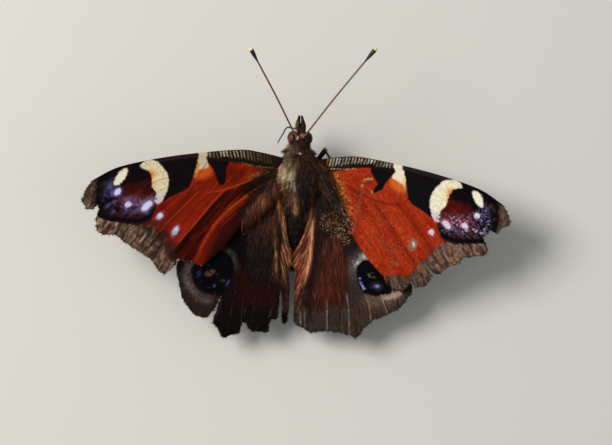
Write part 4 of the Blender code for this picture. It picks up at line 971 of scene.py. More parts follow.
def wing_grid(outline, step):
    """An even grid of triangles inside an outline, its rim drawn onto the outline: points, triangles, how
    many steps each point is from the rim, and the rim's edges."""
    low = outline.min(0) - step
    high = outline.max(0) + step
    rows = int((high[1] - low[1]) / (step * 0.866)) + 2
    columns = int((high[0] - low[0]) / step) + 2
    j, i = np.mgrid[0:rows, 0:columns]
    points = np.stack([low[0] + step * (i + 0.5 * (j % 2)), low[1] + 0.866 * step * j], -1).reshape(-1, 2)
    a = (j * columns + i)[:-1, :-1].ravel()
    odd = (j % 2)[:-1, :-1].ravel().astype(bool)
    b, c, d = a + 1, a + columns, a + columns + 1
    first = np.where(odd[:, None], np.stack([a, b, d], 1), np.stack([a, b, c], 1))
    second = np.where(odd[:, None], np.stack([a, d, c], 1), np.stack([b, d, c], 1))
    triangles = np.vstack([first, second])
    middle = points[triangles].mean(1)
    triangles = triangles[in_shape(middle[:, 0], middle[:, 1], outline)]
    used, triangles = np.unique(triangles, return_inverse=True)
    triangles = triangles.reshape(-1, 3)
    points = points[used]
    edges = np.vstack([triangles[:, [0, 1]], triangles[:, [1, 2]], triangles[:, [2, 0]]])
    key = edges.min(1) * len(points) + edges.max(1)
    _, where, count = np.unique(key, return_index=True, return_counts=True)
    rim = edges[where[count == 1]]
    steps_in = np.full(len(points), len(EDGE_THIN))
    steps_in[rim.ravel()] = 0
    for k in range(1, len(EDGE_THIN)):
        grown = edges[steps_in[edges].min(1) == k - 1].ravel()
        steps_in[grown] = np.minimum(steps_in[grown], k)
    on_rim = np.unique(rim)
    points[on_rim] = nearest(points[on_rim], outline)
    return points, triangles, steps_in, rim


def nearest(points, outline):
    """The nearest point of a closed outline to each point."""
    best = np.full(len(points), 1e9)
    found = points.copy()
    for a, b in zip(outline, np.roll(outline, -1, axis=0)):
        along = b - a
        t = np.clip(((points - a) @ along) / (along @ along + 1e-12), 0, 1)
        place_on = a + t[:, None] * along
        away = np.hypot(*(points - place_on).T)
        near = away < best
        best = np.where(near, away, best)
        found[near] = place_on[near]
    return found


def ragged(points, seed):
    """A worn edge: the run of points split finely, with small notches and threads of scales left standing."""
    line = np.array(points, float)
    fine = []
    for a, b in zip(line, line[1:]):
        count = max(1, round(np.hypot(*(b - a)) / 0.13))
        fine.extend(a + (b - a) * k / count for k in range(count))
    fine = np.array([*fine, line[-1]])
    ahead = np.gradient(fine, axis=0)
    inward = np.stack([ahead[:, 1], -ahead[:, 0]], 1) / (np.hypot(*ahead.T)[:, None] + 1e-9)
    notches = rough(fine[:, 0], fine[:, 1], 0.8, seed) - 0.5
    threads = noise(fine[:, 0], fine[:, 1], 0.16, seed + 1) - 0.4
    from_end = np.minimum(np.arange(len(fine)), np.arange(len(fine))[::-1]) / 4
    return fine + inward * ((RAGGED * notches + THREAD * threads) * np.clip(from_end, 0, 1))[:, None]


def abdomen_half_width(y):
    """Half width of the abdomen: it swells, narrows and ends in a point."""
    t = np.clip((ABDOMEN_START - np.asarray(y, float)) / (ABDOMEN_START - ABDOMEN_END), 0, 1)
    return ABDOMEN_WIDEST * (0.72 + 0.28 * np.sin(np.pi * np.minimum(t / 0.6, 1))) * np.sqrt(1 - t**2.6)


front_edge = curve(FORE_COSTA, 8)
hind_inner = [(max(float(abdomen_half_width(y)) + 0.25, 0.75), y) for y in HIND_INNER_Y]
hind_rear = curve((*hind_inner, *HIND_ROOT_REAR), 5)
outlines = {}
for side, sign in SIDES:
    worn = ragged(FORE_WORN[side], 301 + sign)
    outlines["fore", side] = np.vstack([front_edge, worn, curve(FORE_DORSUM, 8)])
    worn = ragged(HIND_WORN[side], 311 + sign)
    outlines["hind", side] = np.vstack([curve(HIND_COSTA, 8), worn, hind_rear])
front_edge = np.vstack([front_edge, [(30.1, -7.0)]])


def wing_map(x, y, corner, span):
    """Where a point of a wing's upper side lies on the bake's map."""
    return (np.stack([x, y], 1) - corner) / span * 0.48 + 0.01


def wing(kind, side, sign):
    """A thin wing with raised veins, its colours painted on both sides."""
    fore = kind == "fore"
    flat, triangles, steps_in, rim = wing_grid(outlines[kind, side], WING_STEP)
    x, y = flat[:, 0], flat[:, 1]
    middle = (fore_middle if fore else hind_middle)(x, y, side)
    thin = np.array([*EDGE_THIN, 1.0])[steps_in]
    half = WING_HALF * thin
    veins = veins_lift(x, y, FORE_VEINS if fore else HIND_VEINS) * thin
    top = np.stack([sign * x, y, middle + half + veins], 1)
    under = np.stack([sign * x, y, middle - half - 0.5 * veins], 1)
    count = len(flat)
    a, b = rim[:, 0], rim[:, 1]
    edge = np.vstack([np.stack([b, a, a + count], 1), np.stack([b, a + count, b + count], 1)])
    faces = np.vstack([triangles, triangles[:, ::-1] + count, edge])
    if sign < 0:
        faces = faces[:, ::-1]
    upper = (paint_fore if fore else paint_hind)(x, y, side) * LIT[side]
    colours = np.vstack([upper, paint_under(x, y, fore)])
    corner = flat.min(0)
    upper_map = wing_map(x, y, corner, (flat.max(0) - corner).max() * 1.02)
    uv = np.vstack([upper_map, upper_map + (0, 0.5)])
    points = np.vstack([top, under])
    node = f"wing_{kind}_{side}"
    piece(f"{node}_scaled", points, faces, wing_scales, colours, [node], uv)


# The body's skin: one smooth form from the front of the head to the tip of the abdomen
COAT_DEPTH = 0.1
SKIN_SIDES = 72
SKIN_STEP = 0.07
HEAD_SHARES = (1.0, 0.97, 0.9, 0.8, 0.65, 0.5, 0.3, 0.1, -0.1, -0.3, -0.5, -0.66)
NECK = (2.0, 0.74, 0.78, -0.2, 0.18)
SEGMENT = 1.05
DARK_SKIN = (22, 14, 11)
BROWN_SKIN = (46, 30, 20)


def skin_rows():
    """y, half width, half height and the centre's x and z down the whole body."""
    rows = [NECK]
    for share in HEAD_SHARES:
        closed = math.sqrt(max(1 - share * share, 0.004))
        y = HEAD_CENTRE[1] + HEAD_RADII[1] * share
        rows.append((y, HEAD_RADII[0] * closed, HEAD_RADII[2] * closed, HEAD_CENTRE[0], HEAD_CENTRE[2]))
    for y, width, height, z in THORAX_RINGS:
        rows.append((y, width, height, -0.1 * min(max(y / 1.6, 0), 1), z))
    for t in np.linspace(0, 1, 30) ** 0.9:
        y = ABDOMEN_START - (ABDOMEN_START - ABDOMEN_END) * t
        radius = max(float(abdomen_half_width(y)), 0.12)
        z = ABDOMEN_START_Z - ABDOMEN_DROP * (ABDOMEN_START - y)
        rows.append((y, radius, radius * 0.95, -0.2 * t, z))
    rows = np.array(rows)
    rows = rows[np.argsort(rows[:, 0])]
    y = np.arange(ABDOMEN_END, HEAD_CENTRE[1] + HEAD_RADII[1], SKIN_STEP)
    table = [np.interp(y, rows[:, 0], rows[:, k]) for k in range(1, 5)]
    kernel = np.array([1, 2, 3, 4, 3, 2, 1]) / 16
    smooth = [np.convolve(np.pad(column, 3, mode="edge"), kernel, "valid") for column in table]
    ends = np.minimum(np.arange(len(y)), np.arange(len(y))[::-1]) < 4
    width, height, x, z = (np.where(ends, old, new) for old, new in zip(table, smooth))
    return y, [np.maximum(width - COAT_DEPTH, 0.04), np.maximum(height - COAT_DEPTH, 0.04), x, z]


skin_y, skin_table = skin_rows()


def skin_at(y, angle):
    """The skin's point at y and at this angle from straight up to the right, with the direction out of it."""
    width, height, x, z = (np.interp(y, skin_y, column) for column in skin_table)
    grown = [np.interp(y + 0.1, skin_y, column) - np.interp(y - 0.1, skin_y, column) for column in skin_table]
    sin, cos = np.sin(angle), np.cos(angle)
    point = np.stack([x + width * sin, y, z + height * cos], -1)
    slope = -(grown[0] * sin * sin + grown[1] * cos * cos + grown[3] * cos) / 0.2
    out = np.stack([sin / np.maximum(width, 0.1), 0 * sin, cos / np.maximum(height, 0.1)], -1)
    out = out / np.linalg.norm(out, axis=-1, keepdims=True)
    out[..., 1] = slope
    return point, out / np.linalg.norm(out, axis=-1, keepdims=True)


def skin_uv(y, angle):
    """Where a point of the skin lies on the bake's map."""
    u = 0.02 + 0.96 * (skin_y[-1] - y) / (skin_y[-1] - skin_y[0])
    return np.stack([u, 0.02 + 0.96 * (angle / (2 * np.pi) + 0.5)], -1)


def bands(y):
    """A wave down the abdomen, one for each segment."""
    return np.cos((y - ABDOMEN_START) / SEGMENT * 2 * np.pi)


def skin():
    """The head, thorax and abdomen under their hair."""
    y, angle = np.meshgrid(skin_y, np.linspace(-np.pi, np.pi, SKIN_SIDES + 1), indexing="ij")
    point, out = skin_at(y, angle)
    round_it = angle * 1.6
    lumps = 0.05 * (noise(y + 9, round_it, 0.55, 501) - 0.5) + 0.025 * (noise(y, round_it, 0.2, 502) - 0.5)
    segments = 0.035 * bands(y) * (y < ABDOMEN_START)
    point = point + out * (lumps * np.abs(np.cos(angle / 2)) + segments)[..., None]
    rows, columns = y.shape
    a = (np.arange(rows - 1)[:, None] * columns + np.arange(columns - 1)[None]).ravel()
    b, c, d = a + 1, a + columns, a + columns + 1
    tips = np.array([point[0].mean(0) - (0, 0.03, 0), point[-1].mean(0) + (0, 0.03, 0)])
    total = rows * columns
    first, last = np.arange(columns - 1), (rows - 1) * columns + np.arange(columns - 1)
    rear = np.stack([first + 1, first, np.full(columns - 1, total)], 1)
    front = np.stack([last, last + 1, np.full(columns - 1, total + 1)], 1)
    faces = np.vstack([np.stack([a, b, c], 1), np.stack([b, d, c], 1), rear, front])
    tone = 0.7 + 0.5 * noise(y, round_it, 0.35, 503)
    colour = lay(np.array(BROWN_SKIN) * tone[..., None], DARK_SKIN, (-6.2, -7.0, y))
    colours = np.vstack([colour.reshape(-1, 3), DARK_SKIN, BROWN_SKIN])
    uv = np.vstack([skin_uv(y, angle).reshape(-1, 2), skin_uv(skin_y[[0, -1]], np.zeros(2))])
    points = np.vstack([point.reshape(-1, 3), tips])
    piece("body_skin", points, faces, body_matter, colours, ("head", "thorax", "abdomen"), uv)


# Hair: each tuft has three rings of three points and a tip, on a path of four points
TUFT_STEPS = (0.0, 0.35, 0.7, 1.0)
TUFT_RINGS = ((0.0, 0.85), (0.35, 1.0), (0.7, 0.7))
# Each ring's corners: across, up and a colour factor, the upper corner painted lighter and the side ones
# darker, as painted light and shade
TUFT_CORNERS = ((1, 0, 0.9), (0, 1, 1.08), (-1, 0, 0.9))
TUFT_PATCH = 0.003
ROOT_DEPTH = 0.06


def unit(v):
    return v / (np.linalg.norm(v, axis=-1, keepdims=True) + 1e-9)


def columns(*parts):
    """Points or directions from their x, y and z."""
    return np.stack(np.broadcast_arrays(*parts), -1)


def many(count):
    return int(count * FUR_SHARE)


def tuft_mesh(name, paths, outs, width, tip, root_tone, uv):
    """Tapered tufts as one closed mesh, with a darker root by the factor root_tone."""
    root = tip * root_tone
    points, colours, spots = [], [], []
    for ring, (share, wide) in enumerate(TUFT_RINGS):
        along = paths[:, ring + 1] - paths[:, ring]
        across = unit(np.cross(along, outs))
        up = unit(np.cross(across, along))
        half = (width * wide / 2)[:, None]
        tone = root + (tip - root) * share
        for side, lift, light in TUFT_CORNERS:
            points.append(paths[:, ring] + across * half * side + up * half * lift)
            # Painted light and shade: the upper corner lighter, the side ones darker
            colours.append(tone * light)
            spots.append(uv + np.array([side * 0.5, share - 0.5]) * TUFT_PATCH)
    points.append(paths[:, 3])
    colours.append(tip)
    spots.append(uv + np.array([0, 0.5]) * TUFT_PATCH)
    pattern = []
    for ring in (0, 3):
        for k in range(3):
            a, b = ring + k, ring + (k + 1) % 3
            pattern.extend([(a, b, b + 3), (a, b + 3, a + 3)])
    pattern.extend([(6, 7, 9), (7, 8, 9), (8, 6, 9), (0, 2, 1)])
    faces = np.arange(len(paths))[:, None, None] * 10 + np.array(pattern)[None]
    points, colours = np.stack(points, 1), np.stack(colours, 1).reshape(-1, 3)
    piece(name, points, faces, fur, colours, (), np.stack(spots, 1).reshape(-1, 2))


def body_tufts(name, y, angle, along, length, width, rise, curl, colour, root_tone=0.55):
    """Tufts on the skin that leave it at a slope of rise and bend back towards it by curl. The colour is one
    for each, or a function that gives them from the places where they are seen from above."""
    length, width, rise, curl = (np.broadcast_to(value, y.shape) for value in (length, width, rise, curl))
    point, out = skin_at(y, angle)
    flat = unit(along - out * (along * out).sum(1, keepdims=True))
    paths = []
    for t in TUFT_STEPS:
        high = rise * t - curl * t * t
        paths.append(point - out * ROOT_DEPTH * (1 - t) + (flat * t + out * high[:, None]) * length[:, None])
    tip = colour(paths[2][:, 0], paths[2][:, 1]) if callable(colour) else colour
    tuft_mesh(name, np.stack(paths, 1), out, width, tip, root_tone, skin_uv(y, angle))


def wing_tufts(name, kind, side, x, y, heading, length, width, rise, tip, root_tone=0.6, bend=0.0):
    """Hairs that lie along a wing. heading is the direction in degrees, 0 outwards and 90 back."""
    middle = fore_middle if kind == "fore" else hind_middle
    paths = []
    for t in TUFT_STEPS:
        turn = np.radians(heading) + bend * t
        px = x + np.cos(turn) * length * t
        py = y - np.sin(turn) * length * t
        z = middle(px, py, side) + WING_HALF + 0.02 + rise * length * (t - 0.45 * t * t) - 0.07 * (t == 0)
        paths.append(columns(px if side == "right" else -px, py, z))
    outline = outlines[kind, side]
    corner = outline.min(0)
    uv = np.clip(wing_map(x, y, corner, (outline.max(0) - corner).max() * 1.02), 0.004, 0.49)
    tuft_mesh(name, np.stack(paths, 1), np.array([0.0, 0.0, 1.0]), width, tip, root_tone, uv)


def mixed(count, colours, weights, spread=0.16):
    """A colour for each tuft, drawn from a few and varied in lightness."""
    pick = dice.choice(len(colours), count, p=np.array(weights) / sum(weights))
    tone = 1 + spread * jog(count)
    return np.clip(np.array(colours)[pick] * tone[:, None], 0, 255)


def patched(tip, x, y, patches):
    """Soft patches laid over the tufts' colours: two colours each, the place and size, and the strength."""
    for colours, where, strength in patches:
        tip = lay(tip, mixed(len(x), colours, (0.5, 0.5)), spot(x, y, *where), strength)
    return tip


# Patches on the thorax's fur. The dark one over the right shoulder is painted shade, and the pale olive and
# bright copper ones on the left half are partly painted light
THORAX_PATCHES = (
    (((50, 44, 42), (36, 31, 31)), (0.7, -4.0, 1.0, 1.9), 1.3),
    (((204, 188, 152), (166, 150, 118)), (-1.2, -2.4, 0.62, 1.9), 1.3),
    (((176, 122, 80), (104, 70, 46)), (-1.05, -5.0, 0.8, 1.1), 1.0),
    (((236, 228, 210), (206, 196, 176)), (-0.42, -4.0, 0.16, 0.36), 1.5),
    (((255, 204, 160), (255, 188, 142)), (-2.3, -2.1, 0.5, 1.2), 1.9),
    (((196, 128, 84), (140, 88, 56)), (-2.6, -4.4, 0.7, 1.4), 1.0),
    (((206, 196, 176), (150, 136, 116)), (-2.45, -0.3, 0.4, 0.5), 1.2),
    (((255, 178, 124), (232, 150, 90)), (-0.25, -6.4, 0.6, 0.85), 2.1),
    (((255, 150, 76), (190, 104, 52)), (-2.4, -6.4, 0.35, 1.6), 1.4),
    (((150, 76, 46), (110, 56, 36)), (2.1, -2.2, 0.25, 1.4), 1.0),
    (((140, 74, 40), (90, 50, 30)), (2.1, -6.0, 0.3, 1.4), 1.0),
    (((104, 52, 36), (70, 40, 30)), (0.1, 0.7, 0.7, 0.6), 1.0),
)
HEAD_PATCHES = (
    (((255, 236, 200), (250, 200, 156)), (-0.59, 3.2, 0.22, 0.22), 2.2),
    (((250, 190, 160), (220, 150, 120)), (0.12, 3.5, 0.26, 0.22), 1.8),
    (((250, 218, 170), (214, 176, 130)), (-0.92, 4.05, 0.2, 0.4), 1.8),
    (((206, 176, 160), (150, 126, 112)), (-1.55, 1.8, 0.38, 0.5), 1.3),
    (((92, 78, 52), (70, 58, 40)), (-0.6, 1.8, 0.5, 0.5), 1.0),
)
# Beige tufts of the face: name, place, spread, number and colours
FACE_TUFTS = (
    ("middle", -0.6, 3.12, 0.055, 26, ((255, 226, 188), (246, 196, 150))),
    ("right", 0.12, 3.42, 0.1, 36, ((224, 150, 112), (176, 112, 84))),
    ("front", -0.9, 3.92, 0.09, 40, ((240, 204, 158), (186, 150, 112))),
)


def thorax_fur():
    """Long fur over the back and shoulders, swept back and outwards over the wing roots."""
    count = many(11500)
    y = dice.uniform(-6.3, 1.5, count)
    angle = np.radians(dice.uniform(-112, 112, count))
    side = np.sin(angle)
    aside = np.abs(side)
    ahead = ramp(-0.4, 1.3, y)
    along = columns(
        1.25 * side * (0.35 + 0.65 * aside) + 0.16 * jog(count),
        -1.0 + 1.5 * ahead * (1 - 0.5 * aside) + 0.12 * jog(count),
        0.12 * jog(count) - 0.15 * aside,
    )
    length = dice.uniform(0.9, 1.6, count) + 0.8 * aside * ramp(1.2, -0.5, y) * dice.uniform(0.4, 1.1, count)
    width = dice.uniform(0.07, 0.12, count)
    rise = 0.22 + 0.2 * dice.random(count) + 0.35 * ahead
    curl = 0.1 + 0.12 * dice.random(count)
    body_tufts("fur_thorax", y, angle, along, length * (1 - 0.45 * ahead), width, rise, curl, thorax_colour)


def thorax_colour(x, y):
    """Dark over the right shoulder as painted shade, olive left of the middle and copper at the left edge,
    partly painted light, and copper at the waist.
    """
    tip = mixed(len(x), ((74, 46, 32), (44, 29, 23), (110, 66, 40)), (0.45, 0.35, 0.2))
    # Olive over the left half, partly painted light
    olive = mixed(len(x), ((146, 116, 80), (100, 77, 51)), (0.5, 0.5))
    tip = patched(lay(tip, olive, (0.3, -0.9, x), 0.6 + 0.4 * ramp(0.8, -1.0, y)), x, y, THORAX_PATCHES)
    strand = 0.62 + 0.76 * noise(x, y * 0.3, 0.24, 511)
    return np.clip(tip * strand[:, None], 0, 255)


def belly_fur():
    """Shorter fur on the flanks and underside."""
    count = many(6000)
    y = dice.uniform(-6.3, 1.5, count)
    angle = np.radians(180 + dice.uniform(-75, 75, count))
    angle = np.where(angle > np.pi, angle - 2 * np.pi, angle)
    along = columns(0.25 * np.sin(angle) + 0.15 * jog(count), -1 + 0.1 * jog(count), -0.3 + 0.1 * jog(count))
    length = dice.uniform(0.6, 1.1, count)
    width = dice.uniform(0.06, 0.1, count)
    tip = mixed(count, ((58, 40, 29), (34, 25, 20), (92, 64, 40)), (0.5, 0.35, 0.15))
    body_tufts("fur_belly", y, angle, along, length, width, 0.22 + 0.2 * dice.random(count), 0.1, tip)


def abdomen_fur():
    """Close hair on the abdomen, longer down its sides."""
    count = many(7500)
    y = ABDOMEN_START + 0.4 - dice.random(count) * 8.7
    angle = np.radians(dice.uniform(-180, 180, count))
    side = np.sin(angle)
    along = columns(0.3 * side + 0.1 * jog(count), -1.0, -0.25 + 0.1 * jog(count))
    length = dice.uniform(0.55, 0.95, count) + 0.3 * np.abs(side)
    width = dice.uniform(0.06, 0.1, count)
    tip = mixed(count, ((42, 26, 20), (22, 15, 13), (96, 52, 32), (70, 46, 32)), (0.4, 0.35, 0.12, 0.13))
    tip = tip * (0.8 + 0.35 * bands(y))[:, None]
    body_tufts("fur_abdomen", y, angle, along, length, width, 0.16 + 0.14 * dice.random(count), 0.08, tip)


# Half the size of the bare place about an eye
EYE_CLEARANCE = (0.8, 0.93, 0.97)


def head_fur():
    """Short bristling hair on the head, clear of the eyes, and the collar behind it."""
    count = many(5200)
    y = dice.uniform(1.2, 4.36, count)
    angle = np.radians(dice.uniform(-180, 180, count))
    point, out = skin_at(y, angle)
    from_eye = np.stack([np.abs(point[:, 0] - HEAD_CENTRE[0]), y, point[:, 2]], 1)
    from_eye = from_eye - (EYE_OFFSET, HEAD_CENTRE[1] + 0.05, HEAD_CENTRE[2])
    keep = ((from_eye / EYE_CLEARANCE) ** 2).sum(1) >= 1
    y, angle, out = y[keep], angle[keep], out[keep]
    count = len(y)
    side = np.sin(angle)
    front = ramp(2.6, 4.0, y)
    collar = product((2.6, 2.1, y), (0.4, 0.9, np.abs(side)))
    along = columns(
        0.35 * out[:, 0] + 0.16 * jog(count) + 0.8 * collar * np.sign(side),
        0.35 + 0.8 * front + 0.15 * jog(count),
        0.5 * np.sign(out[:, 2]) * front + 0.1 * jog(count),
    )
    length = dice.uniform(0.28, 0.55, count) + 0.3 * ramp(2.3, 1.6, y)
    length = length + collar * np.where(side < 0, 0.85, 0.48)
    width = dice.uniform(0.04, 0.07, count)
    body_tufts("fur_head", y, angle, along, length, width, 0.45 + 0.3 * dice.random(count), 0.14, head_colour)


def head_colour(x, y):
    """Brown and dark hair with beige spots between the feelers and olive behind the left eye."""
    browns = ((92, 62, 42), (56, 38, 29), (122, 88, 60), (36, 27, 24))
    return patched(mixed(len(x), browns, (0.3, 0.35, 0.15, 0.2)), x, y, HEAD_PATCHES)


def pale_tufts():
    """A small bead of white hairs in the fur behind the head, and beige tufts of the face."""
    count = 26
    y = 0.9 + 0.07 * jog(count)
    angle = np.arcsin(np.clip((0.02 + 0.05 * jog(count)) / 1.5, -1, 1))
    along = np.array([0.0, -1.0, 0.0]) + 0.2 * jog((count, 3))
    white = mixed(count, ((255, 250, 244), (235, 225, 220)), (0.6, 0.4), 0.03)
    body_tufts("fur_nape_white", y, angle, along, 0.36, 0.13, 1.6, 0.1, white, 0.9)
    for name, x, y, spread, count, colours in FACE_TUFTS:
        y = y + spread * jog(count)
        sine = (x - HEAD_CENTRE[0] + spread * jog(count)) / np.interp(y, [2.9, 4.0], [1.2, 0.85])
        angle = np.arcsin(np.clip(sine, -0.98, 0.98))
        along = np.array([0.0, 1.0, 0.2]) + 0.2 * jog((count, 3))
        tip = mixed(count, colours, (0.6, 0.4), 0.08)
        body_tufts(f"fur_face_{name}", y, angle, along, 0.24, 0.08, 1.1, 0.1, tip, 0.8)


def waist_fur():
    """Longer fur from the end of the thorax down over the front of the abdomen."""
    count = many(900)
    y = dice.uniform(-6.0, -4.7, count)
    angle = np.radians(dice.uniform(-45, 35, count))
    along = columns(0.15 * np.sin(angle) + 0.1 * jog(count), -1.0, 0.02 + 0.05 * jog(count))
    length = dice.uniform(1.5, 3.1, count)
    width = dice.uniform(0.05, 0.09, count)
    rise = 0.12 + 0.2 * dice.random(count)
    body_tufts("fur_waist", y, angle, along, length, width, rise, 0.08, waist_colour)


def waist_colour(x, y):
    """Dark brown with a beige lock left of the middle."""
    tip = mixed(len(x), ((52, 34, 26), (34, 24, 20), (96, 64, 44)), (0.45, 0.35, 0.2))
    tip = lay(tip, (190, 124, 86), spot(x, y, -0.1, -8.0, 0.42, 0.8), 0.9)
    return patched(tip, x, y, ((((255, 192, 140), (240, 160, 112)), (-0.25, -7.0, 0.42, 0.8), 1.7),))


# Hair at the wings' roots and along the body, each side by itself
REAR_EDGE = ((1.9, -2.2), (2.7, -3.0), (4.4, -5.2), (6.0, -7.2), (7.15, -8.8))
# How near the body's middle the fringe's ends may come, by how far back they are
FRINGE_LIMITS = {
    "left": (
        (5, 8.9, 10.6, 12.4, 13.35, 15.1, 15.5, 16.0, 17.4, 18.6, 20, 22),
        (1.9, 1.6, 1.4, 0.93, 0.4, 0.28, 0.85, 1.05, 0.66, 0.5, 0.5, 0.3),
    ),
    "right": (
        (5, 8.6, 11.0, 12.5, 13.5, 15.1, 15.4, 15.8, 17.35, 18.6, 19.5, 22),
        (1.9, 1.78, 1.2, 0.58, -0.25, -0.2, 0.3, 0.55, 0.4, 0.48, 0.56, 0.45),
    ),
}


def fore_root_fur(side):
    """Hair over the root of the fore wing."""
    left = side == "left"
    count = many(5200)
    x = 1.9 + 4.6 * dice.random(count) ** 1.5
    y = dice.uniform(-5.4, 0.0, count)
    reach = x + 0.3 * (y + 2)
    keep = in_shape(x, y, outlines["fore", side])
    keep &= dice.random(count) < ramp(4.6 if left else 4.8, 2.4, reach)
    keep &= y < (-0.2 if left else 0.6) - 0.42 * x + 0.6 * dice.random(count)
    x, y, reach = x[keep], y[keep], reach[keep]
    count = len(x)
    heading = 44 + 9 * jog(count) + 16 * ramp(-1.0, -4.0, y)
    length = dice.uniform(0.7, 1.6, count) * ramp(7.5, 3.5, x)
    width = dice.uniform(0.045, 0.075, count)
    if left:
        browns = ((46, 28, 21), (28, 19, 16), (150, 78, 36), (84, 48, 28))
        tip = mixed(count, browns, (0.42, 0.38, 0.08, 0.12))
    else:
        browns = ((38, 26, 20), (24, 18, 16), (170, 104, 46), (84, 50, 28))
        tip = mixed(count, browns, (0.42, 0.4, 0.07, 0.11))
        tip = lay(tip, (150, 88, 38), (4.0, 5.2, reach), (0.3, 0.7, dice.random(count)), 0.6)
    rise = 0.1 + 0.1 * dice.random(count)
    wing_tufts(f"fur_fore_root_{side}", "fore", side, x, y, heading, length, width, rise, tip, 0.55)


def shoulder_fur():
    """The lock on the left shoulder that spreads over the wing's root."""
    count = many(1500)
    x = dice.uniform(1.9, 2.5, count)
    y = dice.uniform(-4.6, -0.5, count)
    keep = in_shape(x, y, outlines["fore", "left"])
    x, y = x[keep], y[keep]
    count = len(x)
    heading = 66 + 12 * jog(count) - 16 * ramp(-2.0, 0.0, y)
    length = np.maximum(dice.uniform(0.8, 1.5, count) * ramp(0.6, -1.4, y + 0.3), 0.45)
    seen_x = -(x + 0.6 * np.cos(np.radians(heading)) * length)
    seen_y = y - 0.6 * np.sin(np.radians(heading)) * length
    # The thorax's colours where the lock is seen: at the left edge their copper is partly painted light
    tip = thorax_colour(seen_x, seen_y)
    pink = spot(seen_x, seen_y, -3.1, -2.5, 0.3, 0.5)
    tip = lay(tip, (236, 200, 176), pink, dice.random(count) < 0.5, 0.8)
    width = dice.uniform(0.06, 0.1, count)
    rise = 0.3 + 0.25 * dice.random(count)
    wing_tufts("fur_shoulder_left", "fore", "left", x, y, heading, length, width, rise, tip)


def fore_rear_fur(side):
    """Hair that hangs from the fore wing's rear edge over the hind wing."""
    left = side == "left"
    count = many(4400 if left else 2400)
    run = dice.random(count) ** 1.1
    line = curve(REAR_EDGE, 8)
    at = run * (len(line) - 1)
    x = np.interp(at, np.arange(len(line)), line[:, 0]) + 0.7 * dice.random(count) ** 1.3
    y = np.interp(at, np.arange(len(line)), line[:, 1]) + 0.9 * dice.random(count) ** 1.3
    keep = in_shape(x, y, outlines["fore", side]) & (dice.random(count) < ramp(1.05, 0.55, run))
    x, y, run = x[keep], y[keep], run[keep]
    count = len(x)
    heading = (89 - 3 * run if left else 78 - 18 * run) + 6 * jog(count)
    length = dice.uniform(1.4, 3.4 if left else 2.6, count) * (1 - (0.2 if left else 0.6) * run)
    if left:
        tip = mixed(count, ((88, 47, 31), (46, 27, 21), (156, 80, 44), (26, 18, 14)), (0.36, 0.3, 0.19, 0.15))
        tip = np.clip(tip * (0.5 + noise(x, y * 0.3, 0.18, 524))[:, None], 0, 255)
        mid_y = y - 0.6 * length
        lit = spot(x, mid_y, 4.9, -5.7, 0.45, 0.9) + 0.7 * spot(x, mid_y, 5.9, -5.9, 0.5, 0.8)
        tip = lay(tip, (255, 146, 76), lit, dice.random(count) < 0.5)
    else:
        browns = ((40, 27, 20), (26, 19, 16), (140, 100, 58), (84, 50, 30))
        tip = mixed(count, browns, (0.42, 0.36, 0.08, 0.14))
    width = dice.uniform(0.035, 0.065, count)
    rise = 0.06 + 0.06 * dice.random(count)
    wing_tufts(f"fur_fore_rear_{side}", "fore", side, x, y, heading, length, width, rise, tip, bend=0.12)


def hind_inner_fur(side):
    """The coat on the inner part of the hind wing, with a bright line down its ridge, partly copper hair and
    partly a painted highlight, and on the right painted shade in the furrow beside it.
    """
    left = side == "left"
    count = many(15000)
    x = 0.9 + 5.8 * dice.random(count) ** 1.2
    y = -3.4 - 16.6 * dice.random(count)
    rear = -21.6 + 1.6 * noise(x, 0 * x, 0.5, 523) + (2.2 if left else 0.6 * np.maximum(x - 3.6, 0))
    rear = rear + 1.4 * dice.random(count)
    near = ramp(6.9, 4.3, x - 0.16 * (y + 14)) * ramp(rear, rear + 4.5, y)
    keep = in_shape(x, y, outlines["hind", side]) & ~in_shape(x + 0.25, y + 0.2, outlines["fore", side])
    keep &= dice.random(count) < near
    x, y = x[keep], y[keep]
    count = len(x)
    turned = 10 if left else 10 + 9 * ramp(-13.0, -15.0, y)
    heading = 89 + 3 * jog(count) + ramp(2.4, 1.4, x) * turned - 9 * ramp(3.5, 6, x)
    length = dice.uniform(1.0, 2.6, count)
    width = dice.uniform(0.03, 0.058, count)
    mid_y = y - 0.6 * length
    tip, line, bright, furrow = (left_inner_colours if left else right_inner_colours)(x, mid_y)
    contrast = 0.5 if left else 0.32
    tip = np.clip(tip * (1 - contrast + 2 * contrast * noise(x, y * 0.1, 0.17, 522))[:, None], 0, 255)
    # Painted shade in the furrow beside the ridge
    tip = lay(tip, (50, 26, 20), furrow, 0.8)
    tip = lay(tip, (30, 22, 18), (-9.0, -5.5, mid_y), 0.6 if left else 0.8)
    # The bright line, partly copper hair and partly a painted highlight, with its roots lightened too
    tip = lay(tip, bright * (0.8 + 0.4 * dice.random(count))[:, None], line, 0.95)
    rise = 0.04 + 0.07 * dice.random(count)
    root_tone = (0.6 + 0.35 * line)[:, None]
    wing_tufts(f"fur_hind_inner_{side}", "hind", side, x, y, heading, length, width, rise, tip, root_tone)


